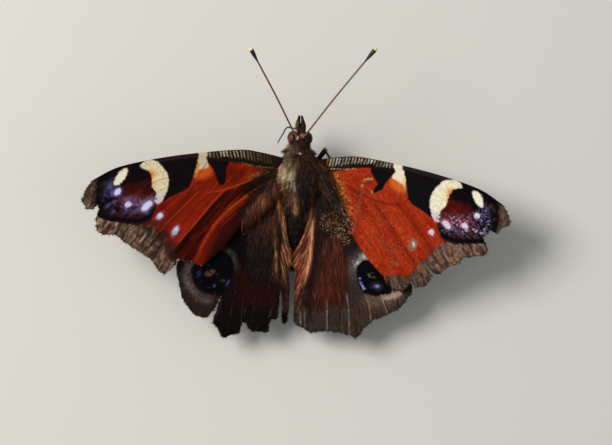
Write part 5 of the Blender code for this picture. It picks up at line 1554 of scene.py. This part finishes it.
def left_inner_colours(x, mid_y):
    """Dark brown with rust and two copper lines, partly painted highlights on the ridge and on a strand
    beside it: the tips, the lines' strength and colour, and no furrow shade.
    """
    count = len(x)
    ridge = np.interp(-mid_y, [9.5, 10.9, 12.5, 15.9, 18], [2.8, 2.74, 2.64, 2.36, 2.3])
    away = np.abs(x - ridge) + 0.1 * noise(x * 3, mid_y * 0.3, 0.3, 529)
    ends = product((-16.6, -15.6, mid_y), 0.25 + 0.75 * ramp(-10.5, -12.0, mid_y), (-7.5, -9.0, mid_y))
    line = product((0.3, 0.09, away), ends, 0.35 + 0.65 * ramp(0.3, 0.55, noise(x, mid_y * 0.35, 0.13, 532)))
    # A lit strand beside the ridge, a painted highlight broken into threads
    strand = np.interp(-mid_y, [5.9, 8.9, 11.5], [2.68, 1.97, 1.54])
    broken = ramp(0.22, 0.5, noise(x, mid_y * 0.12, 0.09, 531))
    glow = product((0.4, 0.12, np.abs(x - strand)), (-12.6, -10.0, mid_y), broken)
    tip = mixed(count, ((56, 34, 25), (32, 20, 17), (122, 66, 36), (24, 16, 14)), (0.3, 0.3, 0.12, 0.28))
    rust = product(spot(x, mid_y, 4.0, -9.0, 1.7, 2.6), (0.42, 0.62, noise(x, mid_y * 0.1, 0.11, 530)))
    tip = lay(tip, (126, 62, 36), rust, 0.9)
    tip = lay(tip, (28, 14, 12), (-11.0, -14.0, mid_y), (2.9, 3.6, x), 0.8)
    bright = lay(np.array((240, 150, 94)), (255, 150, 70), (-8.8, -7.4, mid_y))
    line = np.maximum(line * (dice.random(count) < 0.85), glow * (dice.random(count) < 0.9))
    return tip, line, bright, 0 * x


def right_inner_colours(x, mid_y):
    """Rust and brown: the tips, a pale copper line's strength and colour, partly a painted highlight on the
    ridge, and the furrow beside it, where shade is painted.
    """
    count = len(x)
    ridge = np.interp(-mid_y, [6, 9, 13, 15, 17, 18.6, 20.3], [2.34, 2.2, 2.17, 2.0, 1.58, 1.0, 0.6])
    away = np.abs(x - ridge - 0.04) * (0.75 + 0.55 * noise(x * 2, mid_y * 0.6, 0.5, 526))
    line = product((0.42, 0.12, away), (-7.4, -9.2, mid_y), (-20.0, -16.5, mid_y))
    tip = mixed(count, ((126, 50, 30), (74, 34, 24), (152, 78, 48), (42, 24, 19)), (0.34, 0.3, 0.13, 0.23))
    tip = lay(tip, (126, 50, 31), (3.7, 4.6, x), (-12.5, -15, mid_y), 0.4)
    tip = lay(tip, (28, 21, 18), (-11.8, -9.4, mid_y), (2.7, 3.5, x), 0.8)
    # Painted shade: the furrow on the ridge's far side from the light
    furrow = product((0.2, 0.7, x - ridge), (2.2, 1.2, x - ridge))
    return tip, line * (dice.random(count) < 0.85), np.array((255, 182, 134)), furrow


def specks(side):
    """Short bristling golden hair where the fore wing ends, and on the right fore wing's rear edge."""
    left = side == "left"
    count = many(3400)
    x = 3.5 + 4.1 * dice.random(count)
    y = -6.2 - 5.6 * dice.random(count)
    keep = in_shape(x, y, outlines["hind", side]) & ~in_shape(x + 0.1, y + 0.1, outlines["fore", side])
    dense = 0.1 if left else 0.35 + 0.9 * ramp(0.35, 0.6, noise(x, y, 0.35, 527))
    keep &= dice.random(count) < ramp(1.7, 0.5, np.abs(y + 8.3 + 0.45 * (x - 3.4))) * dense
    x, y = x[keep], y[keep]
    count = len(x)
    tip = mixed(count, ((255, 190, 132), (214, 120, 74), (90, 48, 32), (26, 18, 16)), (0.42, 0.2, 0.14, 0.24))
    tip = tip * (0.4 + 0.7 * ramp(0.35, 0.65, noise(x, y, 0.15, 533)))[:, None]
    # The left side's own colours come after that draw, which keeps the order of random draws
    if left:
        tip = mixed(count, ((170, 96, 46), (110, 66, 38), (44, 30, 24)), (0.35, 0.3, 0.35))
    bristling(f"fur_hind_specks_{side}", "hind", side, x, y, (0.2, 0.42), (0.036, 0.054), 0.5, tip)
    if not left:
        count = many(520)
        x = dice.uniform(4.9, 7.9, count)
        y = dice.uniform(-9.6, -5.8, count)
        keep = in_shape(x, y, outlines["fore", side]) & ~in_shape(x - 0.75, y - 0.55, outlines["fore", side])
        x, y = x[keep], y[keep]
        tip = mixed(len(x), ((255, 222, 176), (214, 150, 96), (60, 36, 26)), (0.4, 0.3, 0.3))
        bristling("fur_fore_specks_right", "fore", side, x, y, (0.18, 0.36), (0.03, 0.045), 0.3, tip)


def bristling(name, kind, side, x, y, lengths, widths, rise, tip):
    """Short hairs that stand up from a wing in many directions."""
    count = len(x)
    heading = dice.uniform(-50, 210, count)
    length = dice.uniform(*lengths, count)
    width = dice.uniform(*widths, count)
    wing_tufts(name, kind, side, x, y, heading, length, width, rise + rise * dice.random(count), tip, 0.8)


def fringe(side):
    """The fringe that fans from the ridge inwards over the abdomen."""
    left = side == "left"
    count = many(6400)
    y = -5.4 - 14.8 * dice.random(count) ** 1.1
    ridge = np.interp(-y, [6, 9, 13, 16.8, 20.3], [2.3, 2.16, 2.05, 1.72, 1.24])
    inwards = dice.random(count) ** 1.2
    x = ridge - 1.35 * inwards
    fan = product((-6.5, -9.0, y), (-16.2, -13.6, y))
    heading = 97 + 4 * jog(count) + 7 * inwards + 19 * fan * (0.35 + 0.65 * inwards)
    length = dice.uniform(1.3, 2.6, count) * np.interp(-y, [5, 8, 11, 14, 18.5], [0.8, 1.0, 1.15, 1.15, 0.75])
    lean = np.cos(np.radians(heading))
    for _ in range(3):
        limit = np.interp(np.sin(np.radians(heading)) * length - y, *FRINGE_LIMITS[side])
        length = np.where(x + lean * length < limit, length * 0.8, length)
    keep = (x + lean * length > limit - 0.15) & (x > 0.45)
    x, y, heading, length, lean = x[keep], y[keep], heading[keep], length[keep], lean[keep]
    count = len(x)
    length = np.clip(length, 0.4, 3.0)
    width = dice.uniform(0.04, 0.07, count)
    mid_x, mid_y = x + 0.6 * lean * length, y - 0.6 * length
    tip = fringe_colours(mid_x, mid_y, left)
    rise = 0.05 + 0.06 * dice.random(count)
    wing_tufts(f"fur_fringe_{side}", "hind", side, x, y, heading, length, width, rise, tip, bend=0.08)


def fringe_colours(mid_x, mid_y, left):
    """Copper strands with dark gaps, darker towards the tail, a bright one on each side."""
    if left:
        colours = ((200, 116, 80), (132, 78, 54), (232, 146, 98), (50, 31, 24))
        weights = (0.34, 0.28, 0.18, 0.2)
        strand = np.interp(-mid_y, [5.9, 8.9, 11.5, 13.2, 15.0], [2.68, 1.97, 1.54, 0.7, 0.3])
        lit, edge, strength = (236, 146, 98), (0.28, 0.06), 0.9
        tail = product((-15.6, -18.0, mid_y), 0.85)
    else:
        colours = ((174, 84, 52), (112, 52, 34), (210, 118, 78), (44, 24, 19))
        weights = (0.32, 0.28, 0.18, 0.22)
        strand = np.interp(-mid_y, [7.5, 10.5, 13.0, 15.2], [1.6, 1.35, 0.85, 0.3])
        lit, edge, strength = (206, 118, 84), (0.22, 0.05), 0.8
        tail = product((-17.5, -20.5, mid_y), 0.5)
    tip = mixed(len(mid_x), colours, weights)
    tip = lay(tip, lit, (*edge, np.abs(mid_x - strand)), dice.random(len(mid_x)) < 0.7, strength)
    tip = lay(tip, (44, 28, 22), (-8.0, -6.2, mid_y), 0.6)
    tip = np.clip(tip * (0.2 + 1.6 * noise(mid_x - 0.4 * mid_y, mid_y * 0.1, 0.16, 521))[:, None], 0, 255)
    from_gap = np.abs(mid_x + (-0.3 if left else 0.3))
    gap = product((0.55, 0.15, from_gap), (-12.8, -13.6, mid_y), (-15.6, -14.8, mid_y))
    tip = lay(tip, (38, 22, 18), gap, dice.random(len(mid_x)) < 0.75, 0.75)
    return lay(tip, (46, 29, 23), tail)


def edge_scales(kind, side, worn, colours):
    """Threads of scales that stand out from the worn edge of a wing."""
    line = outlines[kind, side]
    ahead = np.roll(line, -1, axis=0) - np.roll(line, 1, axis=0)
    ahead = ahead / (np.hypot(*ahead.T)[:, None] + 1e-9)
    start, end = (np.hypot(*(line - corner).T).argmin() for corner in (worn[0], worn[-1]))
    at = dice.integers(start, end, int((end - start) * 1.1 * FUR_SHARE))
    out = np.stack([-ahead[at, 1], ahead[at, 0]], 1)
    heading = np.degrees(np.arctan2(-out[:, 1], out[:, 0])) + 22 * jog(len(at))
    length = dice.uniform(0.18, 0.42, len(at))
    x, y = (line[at] - out * 0.12).T
    tip = mixed(len(at), colours, (0.45, 0.35, 0.2))
    width = dice.uniform(0.05, 0.1, len(at))
    wing_tufts(f"scales_{kind}_{side}_edge", kind, side, x, y, heading, length, width, 0.0, tip, 0.9)


# Eyes, feelers, mouthparts and legs
def ring_faces(rings, sides):
    """Triangles between rings of points, one ring after the other."""
    faces = []
    for r in range(rings - 1):
        for s in range(sides):
            a, b = r * sides + s, r * sides + (s + 1) % sides
            faces.extend([(a, a + sides, b + sides), (a, b + sides, b)])
    return faces


def tube(path, radii, sides):
    """A closed tube along a path: points and triangles, its rings in order."""
    ahead = unit(np.gradient(path, axis=0))
    across = np.cross(ahead[0], (0.0, 0.0, 1.0))
    if np.linalg.norm(across) < 0.1:
        across = np.cross(ahead[0], (1.0, 0.0, 0.0))
    points = []
    for centre, along, radius in zip(path, ahead, radii):
        across = unit(across - along * (across @ along))
        up = np.cross(across, along)
        for s in range(sides):
            turn = 2 * math.pi * s / sides
            points.append(centre + radius * (math.cos(turn) * across + math.sin(turn) * up))
    rings = len(path)
    faces = ring_faces(rings, sides)
    points.extend([path[0], path[-1]])
    first, last = rings * sides, rings * sides + 1
    for s in range(sides):
        b = (s + 1) % sides
        faces.append((first, s, b))
        faces.append((last, (rings - 1) * sides + b, (rings - 1) * sides + s))
    return np.array(points), np.array(faces)


def fine_path(points, count):
    """That many points, evenly apart on a smooth curve through the given ones, and its length."""
    line = curve(points, 20)
    length = np.concatenate([[0], np.cumsum(np.linalg.norm(np.diff(line, axis=0), axis=1))])
    at = np.linspace(0, length[-1], count)
    return np.stack([np.interp(at, length, line[:, k]) for k in range(3)], 1), length[-1]


def ring_colours(colours, sides):
    """One colour for each point of a tube from one for each ring."""
    return np.vstack([np.repeat(colours, sides, axis=0), colours[0], colours[-1]])


def tubed(name, node, path, radii, sides, colours):
    """A tube of chitin that stands for a node, with a colour for each ring."""
    points, faces = tube(path, radii, sides)
    piece(name, points, faces, chitin, ring_colours(colours, sides), [node])


def rounded(t, share):
    """A factor that closes a tube's end over this share of its length."""
    return np.sqrt(np.clip((1.002 - t) / share, 0, 1))


def head_surface(x, y, up=1.0):
    """The point of the head over or under x and y from its centre, with the direction out of it."""
    rise = math.sqrt(1 - (x / HEAD_RADII[0]) ** 2 - (y / HEAD_RADII[1]) ** 2)
    away = np.array([x, y, up * HEAD_RADII[2] * rise])
    return np.array(HEAD_CENTRE) + away, unit(away / np.array(HEAD_RADII) ** 2)


# Each eye's ground and mottled patches: the left eye's lighter patches are partly painted light, the right
# eye's darker ones painted shade
EYE_COLOURS = {"left": ((34, 16, 12), (88, 50, 38)), "right": ((30, 18, 19), (60, 34, 28))}


def eyes():
    """Two round eyes with a mottled pattern, a painted highlight on the outer front of the left one and a
    small maroon patch at the outer edge of the right one.
    """
    rings, sides = 37, 48
    for side, sign in SIDES:
        centre = np.array(HEAD_CENTRE) + (sign * (EYE_OFFSET + 0.02), 0.05, 0.0)
        up = np.linspace(0, math.pi, rings)[:, None]
        turn = np.arange(sides)[None] * 2 * math.pi / sides
        ball = columns(np.sin(up) * np.cos(turn), np.sin(up) * np.sin(turn), np.cos(up))
        points = (centre + np.array(EYE_RADII) * ball).reshape(-1, 3)
        x, y = points[:, 0], points[:, 1]
        base, patch = EYE_COLOURS[side]
        tone = lay(np.array(base), patch, (0.45, 0.75, noise(x, y, 0.28, 531)))
        # A painted highlight on the left eye's outer front, in pale pinkish brown
        shine = 0.8 * spot(x, y, -1.45, 3.32, 0.26, 0.17) + 0.85 * spot(x, y, -1.7, 2.85, 0.15, 0.36)
        tone = lay(tone, (150, 88, 72), shine)
        tone = lay(tone, (78, 36, 44), spot(x, y, 1.5, 3.0, 0.1, 0.4), 0.5)
        faces = ring_faces(rings, sides)
        piece(f"eye_{side}_glossy", points, faces, eye_matter, tone, [f"eye_{side}"])


ANTENNA_TIPS = {"left": (-7.85, 15.15, 8.6), "right": (9.72, 16.35, 4.3)}
ANTENNA_COLOURS = {"left": (104, 68, 54), "right": (104, 62, 46)}
ANTENNA_RING = 0.36


def antennae():
    """The ringed feelers with dark clubs and cream tips."""
    for side, sign in SIDES:
        root, out = head_surface(sign * 0.45, 0.35)
        tip = np.array(ANTENNA_TIPS[side])
        middle = root + (tip - root) * 0.45 + (0, 0, 0.9)
        path, length = fine_path((root - out * 0.1, root + out * 0.55, middle, tip), 300)
        t = np.linspace(0, 1, 300)
        club = np.clip((t - 0.86) / 0.14, 0, 1)
        radii = 0.125 + 0.19 * np.sin(np.pi * 0.5 * np.clip(club * 1.35, 0, 1)) ** 1.3
        radii = radii * np.sqrt(np.clip((1.0015 - t) / 0.012, 0, 1))
        joints = np.cos(t * length / ANTENNA_RING * 2 * math.pi)
        radii = radii * (1 + 0.07 * joints * (1 - club))
        shaft = lay(np.array(ANTENNA_COLOURS[side]), (168, 132, 112), (0.35, 0.9, joints), 0.6)
        shaft = lay(shaft, (36, 24, 20), (0.4, 0.9, -joints), 0.6)
        shaft = lay(shaft, (14, 11, 11), (0.84, 0.88, t))
        shaft = lay(shaft, (244, 222, 164), (0.972, 0.982, t))
        tubed(f"antenna_{side}_ringed", f"antenna_{side}", path, radii, 14, shaft)


def bristles(name, path, radius, count, length, width, rise, colours, weights, lean, taper=0.0):
    """Short hairs all along a tube, leaning towards its end and shorter there by the share taper."""
    count = many(count)
    at = dice.uniform(0.02, 0.98, count) * (len(path) - 1)
    i = at.astype(int)
    f = (at - i)[:, None]
    centre = path[i] * (1 - f) + path[i + 1] * f
    ahead = unit(path[i + 1] - path[i])
    side = unit(np.cross(ahead, jog((count, 3))))
    thick = np.interp(at, np.arange(len(path)), radius)[:, None]
    root = centre + side * thick * 0.85
    reach = (dice.uniform(0.6, 1.2, count) * length * (1 - taper * at / len(path)))[:, None]
    paths = []
    for t in TUFT_STEPS:
        away = ahead * t + side * (rise * t - 0.12 * t * t) + np.array(lean) * t * t
        paths.append(root + away * reach)
    tip = mixed(count, colours, weights)
    uv = np.stack([0.02 + 0.96 * at / len(path), dice.uniform(0.02, 0.98, count)], 1)
    width = dice.uniform(0.7, 1.2, count) * width
    tuft_mesh(name, np.stack(paths, 1), side, width, tip, 0.55, uv)


def palps():
    """The pointed palps in front of the head, with their bristles."""
    for side, sign in SIDES:
        root, out = head_surface(sign * 0.38, 0.95, -1.0)
        end = np.array(HEAD_CENTRE) + (sign * 0.19 - 0.1, HEAD_RADII[1] + 1.86, 0.35)
        path, _ = fine_path((root - out * 0.1, root + out * 0.25 + (-sign * 0.08, 0.55, 0.1), end), 40)
        t = np.linspace(0, 1, 40)
        radii = 0.33 * (1 - 0.66 * np.clip((t - 0.3) / 0.7, 0, 1)) * rounded(t, 0.05)
        colours = lay(np.array((40, 28, 24)), (96, 78, 66), (0.6, 1.0, t), 0.5)
        tubed(f"palp_{side}_core", f"palp_{side}", path, radii, 12, colours)
        name = f"fur_palp_{side}"
        inner, lean = ((30, 22, 21), (60, 46, 40)), (-sign * 0.6, 0, 0)
        bristles(f"{name}_inner", path[3:17], radii[3:17], 460, 0.34, 0.07, 0.12, inner, (0.7, 0.3), lean)
        if side == "left":
            pale, lean = ((222, 190, 146), (160, 132, 100)), (-0.45, 0, 0.1)
            bristles(f"{name}_pale", path[8:24], radii[8:24], 200, 0.34, 0.06, 0.3, pale, (0.5, 0.5), lean)
        outer, lean = ((36, 26, 24), (70, 54, 46), (150, 128, 104)), (-sign * 0.1, 0, 0.06)
        bristles(name, path, radii, 1300, 0.4, 0.05, 0.3, outer, (0.62, 0.26, 0.12), lean, 0.6)


PROBOSCIS_BENDS = (
    (-1.28, 4.55, -1.7), (-2.12, 4.58, -1.0), (-2.65, 3.7, -2.6), (-3.22, 2.62, -4.6), (-3.34, 2.4, -5.9),
)
PROBOSCIS_RING = 0.16


def proboscis():
    """The bent feeding tube with its fine rings."""
    root, out = head_surface(0.0, 0.85, -1.0)
    path, length = fine_path((root - out * 0.15, root + out * 0.6, *PROBOSCIS_BENDS), 220)
    t = np.linspace(0, 1, 220)
    rings = np.cos(t * length / PROBOSCIS_RING * 2 * math.pi)
    radii = (0.13 - 0.055 * t) * (1 + 0.05 * rings) * rounded(t, 0.02)
    colours = lay(np.array((58, 38, 28)), (96, 66, 44), (0.3, 0.9, rings), 0.6)
    tubed("proboscis_ringed", "proboscis", path, radii, 12, colours)


# Each walking leg's root, knee, ankle and toe
LEGS = {
    "leg_mid_right": ((0.95, -1.5), (3.4, 1.75, -2.1), (6.0, -0.9), (8.6, 0.1)),
    "leg_mid_left": ((-0.95, -1.5), (-3.5, -0.1, -2.1), (-6.0, -1.5), (-8.6, -0.7)),
    "leg_hind_right": ((0.95, -3.7), (3.8, -6.4, -2.3), (5.6, -12.0), (6.9, -15.2)),
    "leg_hind_left": ((-0.95, -3.7), (-3.9, -6.2, -2.3), (-5.9, -11.7), (-7.4, -14.8)),
}
FORE_LEG_ROOT = (0.75, 0.55)
FORE_LEG_BENDS = ((1.05, 1.7, -3.0), (0.95, 3.1, -2.75))
FOOT_HEIGHT = 0.17
FOOT_SEGMENTS = 5
LEG_SIDES = 12


def thorax_underside(x, y):
    """The point under the thorax at x and y, with the direction out of it."""
    rows = np.array(sorted(THORAX_RINGS))
    width, height, centre = (np.interp(y, rows[:, 0], rows[:, k]) for k in (1, 2, 3))
    drop = math.sqrt(1 - (x / width) ** 2)
    return np.array([x, y, centre - height * drop]), unit(np.array([x / width**2, 0, -drop / height]))


def leg_part(start, end, thick, thin, swelling, tone, foot=False):
    """One part of a leg: points, triangles and colours. A foot has segments and stays above the floor."""
    t = np.linspace(0, 1, 61 if foot else 24)
    radii = (thick + (thin - thick) * t) * (1 + swelling * np.sin(np.pi * t))
    colours = np.tile(tone, (len(t), 1))
    if foot:
        along = (t * FOOT_SEGMENTS) % 1
        radii = radii * (0.8 + 0.25 * along**0.6)
        colours = lay(colours, (48, 32, 24), (0.75, 0.98, along))
    ends = np.minimum(t, 1 - t) * np.linalg.norm(end - start)
    radii = radii * np.sqrt(np.clip(ends / 0.12, 0.05, 1))
    points, faces = tube(start + (end - start) * t[:, None], radii, LEG_SIDES)
    if foot:
        low = np.maximum(0.02 - place(points)[:, 2] / MM, 0)
        points = points + np.array([0, math.sin(PITCH), math.cos(PITCH)]) * low[:, None]
    return points, faces, ring_colours(colours, LEG_SIDES)


def claw(toe, ahead, aside):
    """One of the two claws at a foot's end."""
    start = toe - ahead * 0.04 + aside * 0.05
    bend = start + ahead * 0.13 + aside * 0.07 + (0, 0, 0.03)
    end = start + ahead * 0.22 + aside * 0.1 - (0, 0, 0.07)
    path, _ = fine_path((start, bend, end), 12)
    points, faces = tube(path, np.linspace(0.035, 0.006, 12), 8)
    return points, faces, np.tile((26, 16, 12), (len(points), 1))


def walking_leg(name, root_at, knee, ankle, toe):
    """A leg from the thorax to the floor, with its claws and bristles."""
    root, out = thorax_underside(*root_at)
    hip, knee = root + out * 1.15, np.array(knee)
    shin, heel = (to_own_frame(*ankle, FOOT_HEIGHT + rise) for rise in (0.35, 0))
    toe = to_own_frame(*toe, FOOT_HEIGHT)
    ahead = unit(toe - heel)
    aside = unit(np.cross(ahead, (0, 0, 1.0)))
    parts = (
        leg_part(root - out * 0.3, hip, 0.36, 0.3, 0.06, (40, 28, 22)),
        leg_part(hip, knee, 0.3, 0.2, 0.22, (44, 30, 23)),
        leg_part(knee, (shin + heel) / 2, 0.17, 0.14, 0.06, (96, 68, 46)),
        leg_part(heel, toe, 0.13, 0.09, 0.06, (112, 82, 56), True),
        claw(toe, ahead, -aside),
        claw(toe, ahead, aside),
    )
    points, faces, colours = zip(*parts)
    starts = np.cumsum([0, *map(len, points)])
    faces = [part + start for part, start in zip(faces, starts)]
    points, faces, colours = (np.vstack(values) for values in (points, faces, colours))
    piece(f"{name}_jointed", points, faces, chitin, colours, [name])
    femur, _ = fine_path((root, hip, knee), 50)
    thick = np.interp(np.linspace(0, 1, 50), [0, 0.25, 0.6, 1], [0.33, 0.28, 0.3, 0.2])
    browns, lean = ((40, 29, 23), (66, 48, 36), (24, 18, 16)), (0, 0, -0.05)
    bristles(f"fur_{name}_femur", femur, thick, 1500, 0.55, 0.055, 0.34, browns, (0.5, 0.15, 0.35), lean)
    tibia, _ = fine_path((knee, (knee + shin) / 2, shin), 40)
    browns, thick = ((92, 66, 44), (50, 34, 25)), np.full(40, 0.15)
    bristles(f"fur_{name}_tibia", tibia, thick, 650, 0.24, 0.03, 0.3, browns, (0.6, 0.4), (0, 0, 0))


def front_leg(side, sign):
    """A short front leg, folded against the breast, with its bristles."""
    root, out = thorax_underside(sign * FORE_LEG_ROOT[0], FORE_LEG_ROOT[1])
    bends = [(sign * x, y, z) for x, y, z in FORE_LEG_BENDS]
    path, _ = fine_path((root - out * 0.2, root + out * 0.5, *bends), 60)
    t = np.linspace(0, 1, 60)
    radii = (0.22 - 0.06 * t) * rounded(t, 0.05)
    name = f"leg_fore_{side}"
    tubed(f"{name}_core", name, path, radii, LEG_SIDES, np.tile((44, 31, 24), (60, 1)))
    browns = ((50, 36, 27), (90, 66, 46), (28, 20, 17))
    bristles(f"fur_{name}", path, radii, 1800, 0.55, 0.05, 0.35, browns, (0.5, 0.25, 0.25), (0, 0, -0.04))


# The order of these calls is also the order of the random draws
for side, sign in SIDES:
    wing("fore", side, sign)
    wing("hind", side, sign)
skin()
thorax_fur()
belly_fur()
abdomen_fur()
head_fur()
pale_tufts()
waist_fur()
for side, _ in SIDES:
    fore_root_fur(side)
    if side == "left":
        shoulder_fur()
    for coat in (fore_rear_fur, hind_inner_fur, specks, fringe):
        coat(side)
for kind, worn, colours in (
    ("fore", FORE_WORN, ((58, 44, 36), (30, 23, 20), (140, 118, 92))),
    ("hind", HIND_WORN, ((34, 27, 24), (16, 13, 13), (74, 60, 48))),
):
    for side, _ in SIDES:
        edge_scales(kind, side, worn[side], colours)
eyes()
antennae()
palps()
proboscis()
for name, places in LEGS.items():
    walking_leg(name, *places)
for side, sign in SIDES:
    front_leg(side, sign)

# Floor, lamps and camera. The picture's place over the animal is in millimetres of the animal's own frame
PICTURE_CENTRE = (1.368, -8.613, 3.0)
PICTURE_RIGHT = (0.998, 0.061, 0.0)
PICTURE_WIDTH = 85.68
CAMERA_DISTANCE = 600.0
SENSOR_WIDTH = 36.0
# Half the floor's width in metres
FLOOR_HALF = 1.5
FLOOR_COLOUR = (214, 212, 206)
# The place that the lamps stand about
LIT_PLACE = (0, -5, 1)
WORLD_COLOUR = (0.95, 0.98, 1.0, 1)
WORLD_STRENGTH = 0.3
# Each lamp's name, direction, distance and size in metres, power and colour
LAMPS = (
    ("key", (-0.8, 0.35, 1.0), 0.5, 0.26, 2.35, (1.0, 0.965, 0.92)),
    ("fill", (0.9, -0.3, 0.8), 0.5, 0.4, 0.2, (0.92, 0.96, 1.0)),
)


def linked(name, data):
    """A new object in the scene."""
    made = bpy.data.objects.new(name, data)
    bpy.context.scene.collection.objects.link(made)
    return made


def frame_direction(vector):
    """A direction of the animal's frame in the row frame."""
    return Matrix.Rotation(PITCH, 3, "X") @ Vector(vector)


def area_light(name, direction, distance, size, power, colour):
    """A soft lamp that faces the animal from this direction of its own frame."""
    data = bpy.data.lights.new(name, "AREA")
    data.shape = "DISK"
    data.size = size
    data.energy = power
    data.color = colour
    made = linked(name, data)
    back = frame_direction(direction).normalized()
    made.location = Vector(place(LIT_PLACE)[0]) + back * distance
    made.rotation_euler = back.to_track_quat("Z", "Y").to_euler()


floor_mesh = bpy.data.meshes.new("floor")
corners = [(x * FLOOR_HALF, y * FLOOR_HALF, 0) for x, y in ((-1, -1), (1, -1), (1, 1), (-1, 1))]
floor_mesh.from_pydata(corners, [], [(0, 1, 2, 3)])
floor_mesh.materials.append(coated("floor_pale", 0.9, 0.2, colour=FLOOR_COLOUR))
floor = linked("floor", floor_mesh)
for lamp in LAMPS:
    area_light(*lamp)
world = bpy.data.worlds.new("soft_light")
world.use_nodes = True
world.node_tree.nodes["Background"].inputs["Color"].default_value = WORLD_COLOUR
world.node_tree.nodes["Background"].inputs["Strength"].default_value = WORLD_STRENGTH
bpy.context.scene.world = world
bpy.context.scene.view_settings.view_transform = "Standard"

lens = bpy.data.cameras.new("camera")
lens.sensor_width = SENSOR_WIDTH
lens.lens = SENSOR_WIDTH * CAMERA_DISTANCE / PICTURE_WIDTH
lens.clip_start = 0.01
lens.clip_end = 10
camera = linked("camera", lens)
back = frame_direction((0, 0, 1))
right = frame_direction(PICTURE_RIGHT).normalized()
stands = Vector(place(PICTURE_CENTRE)[0]) + back * CAMERA_DISTANCE * MM
turned = Matrix((right, back.cross(right), back)).transposed().to_4x4()
camera.matrix_world = Matrix.Translation(stands) @ turned
bpy.context.scene.camera = camera
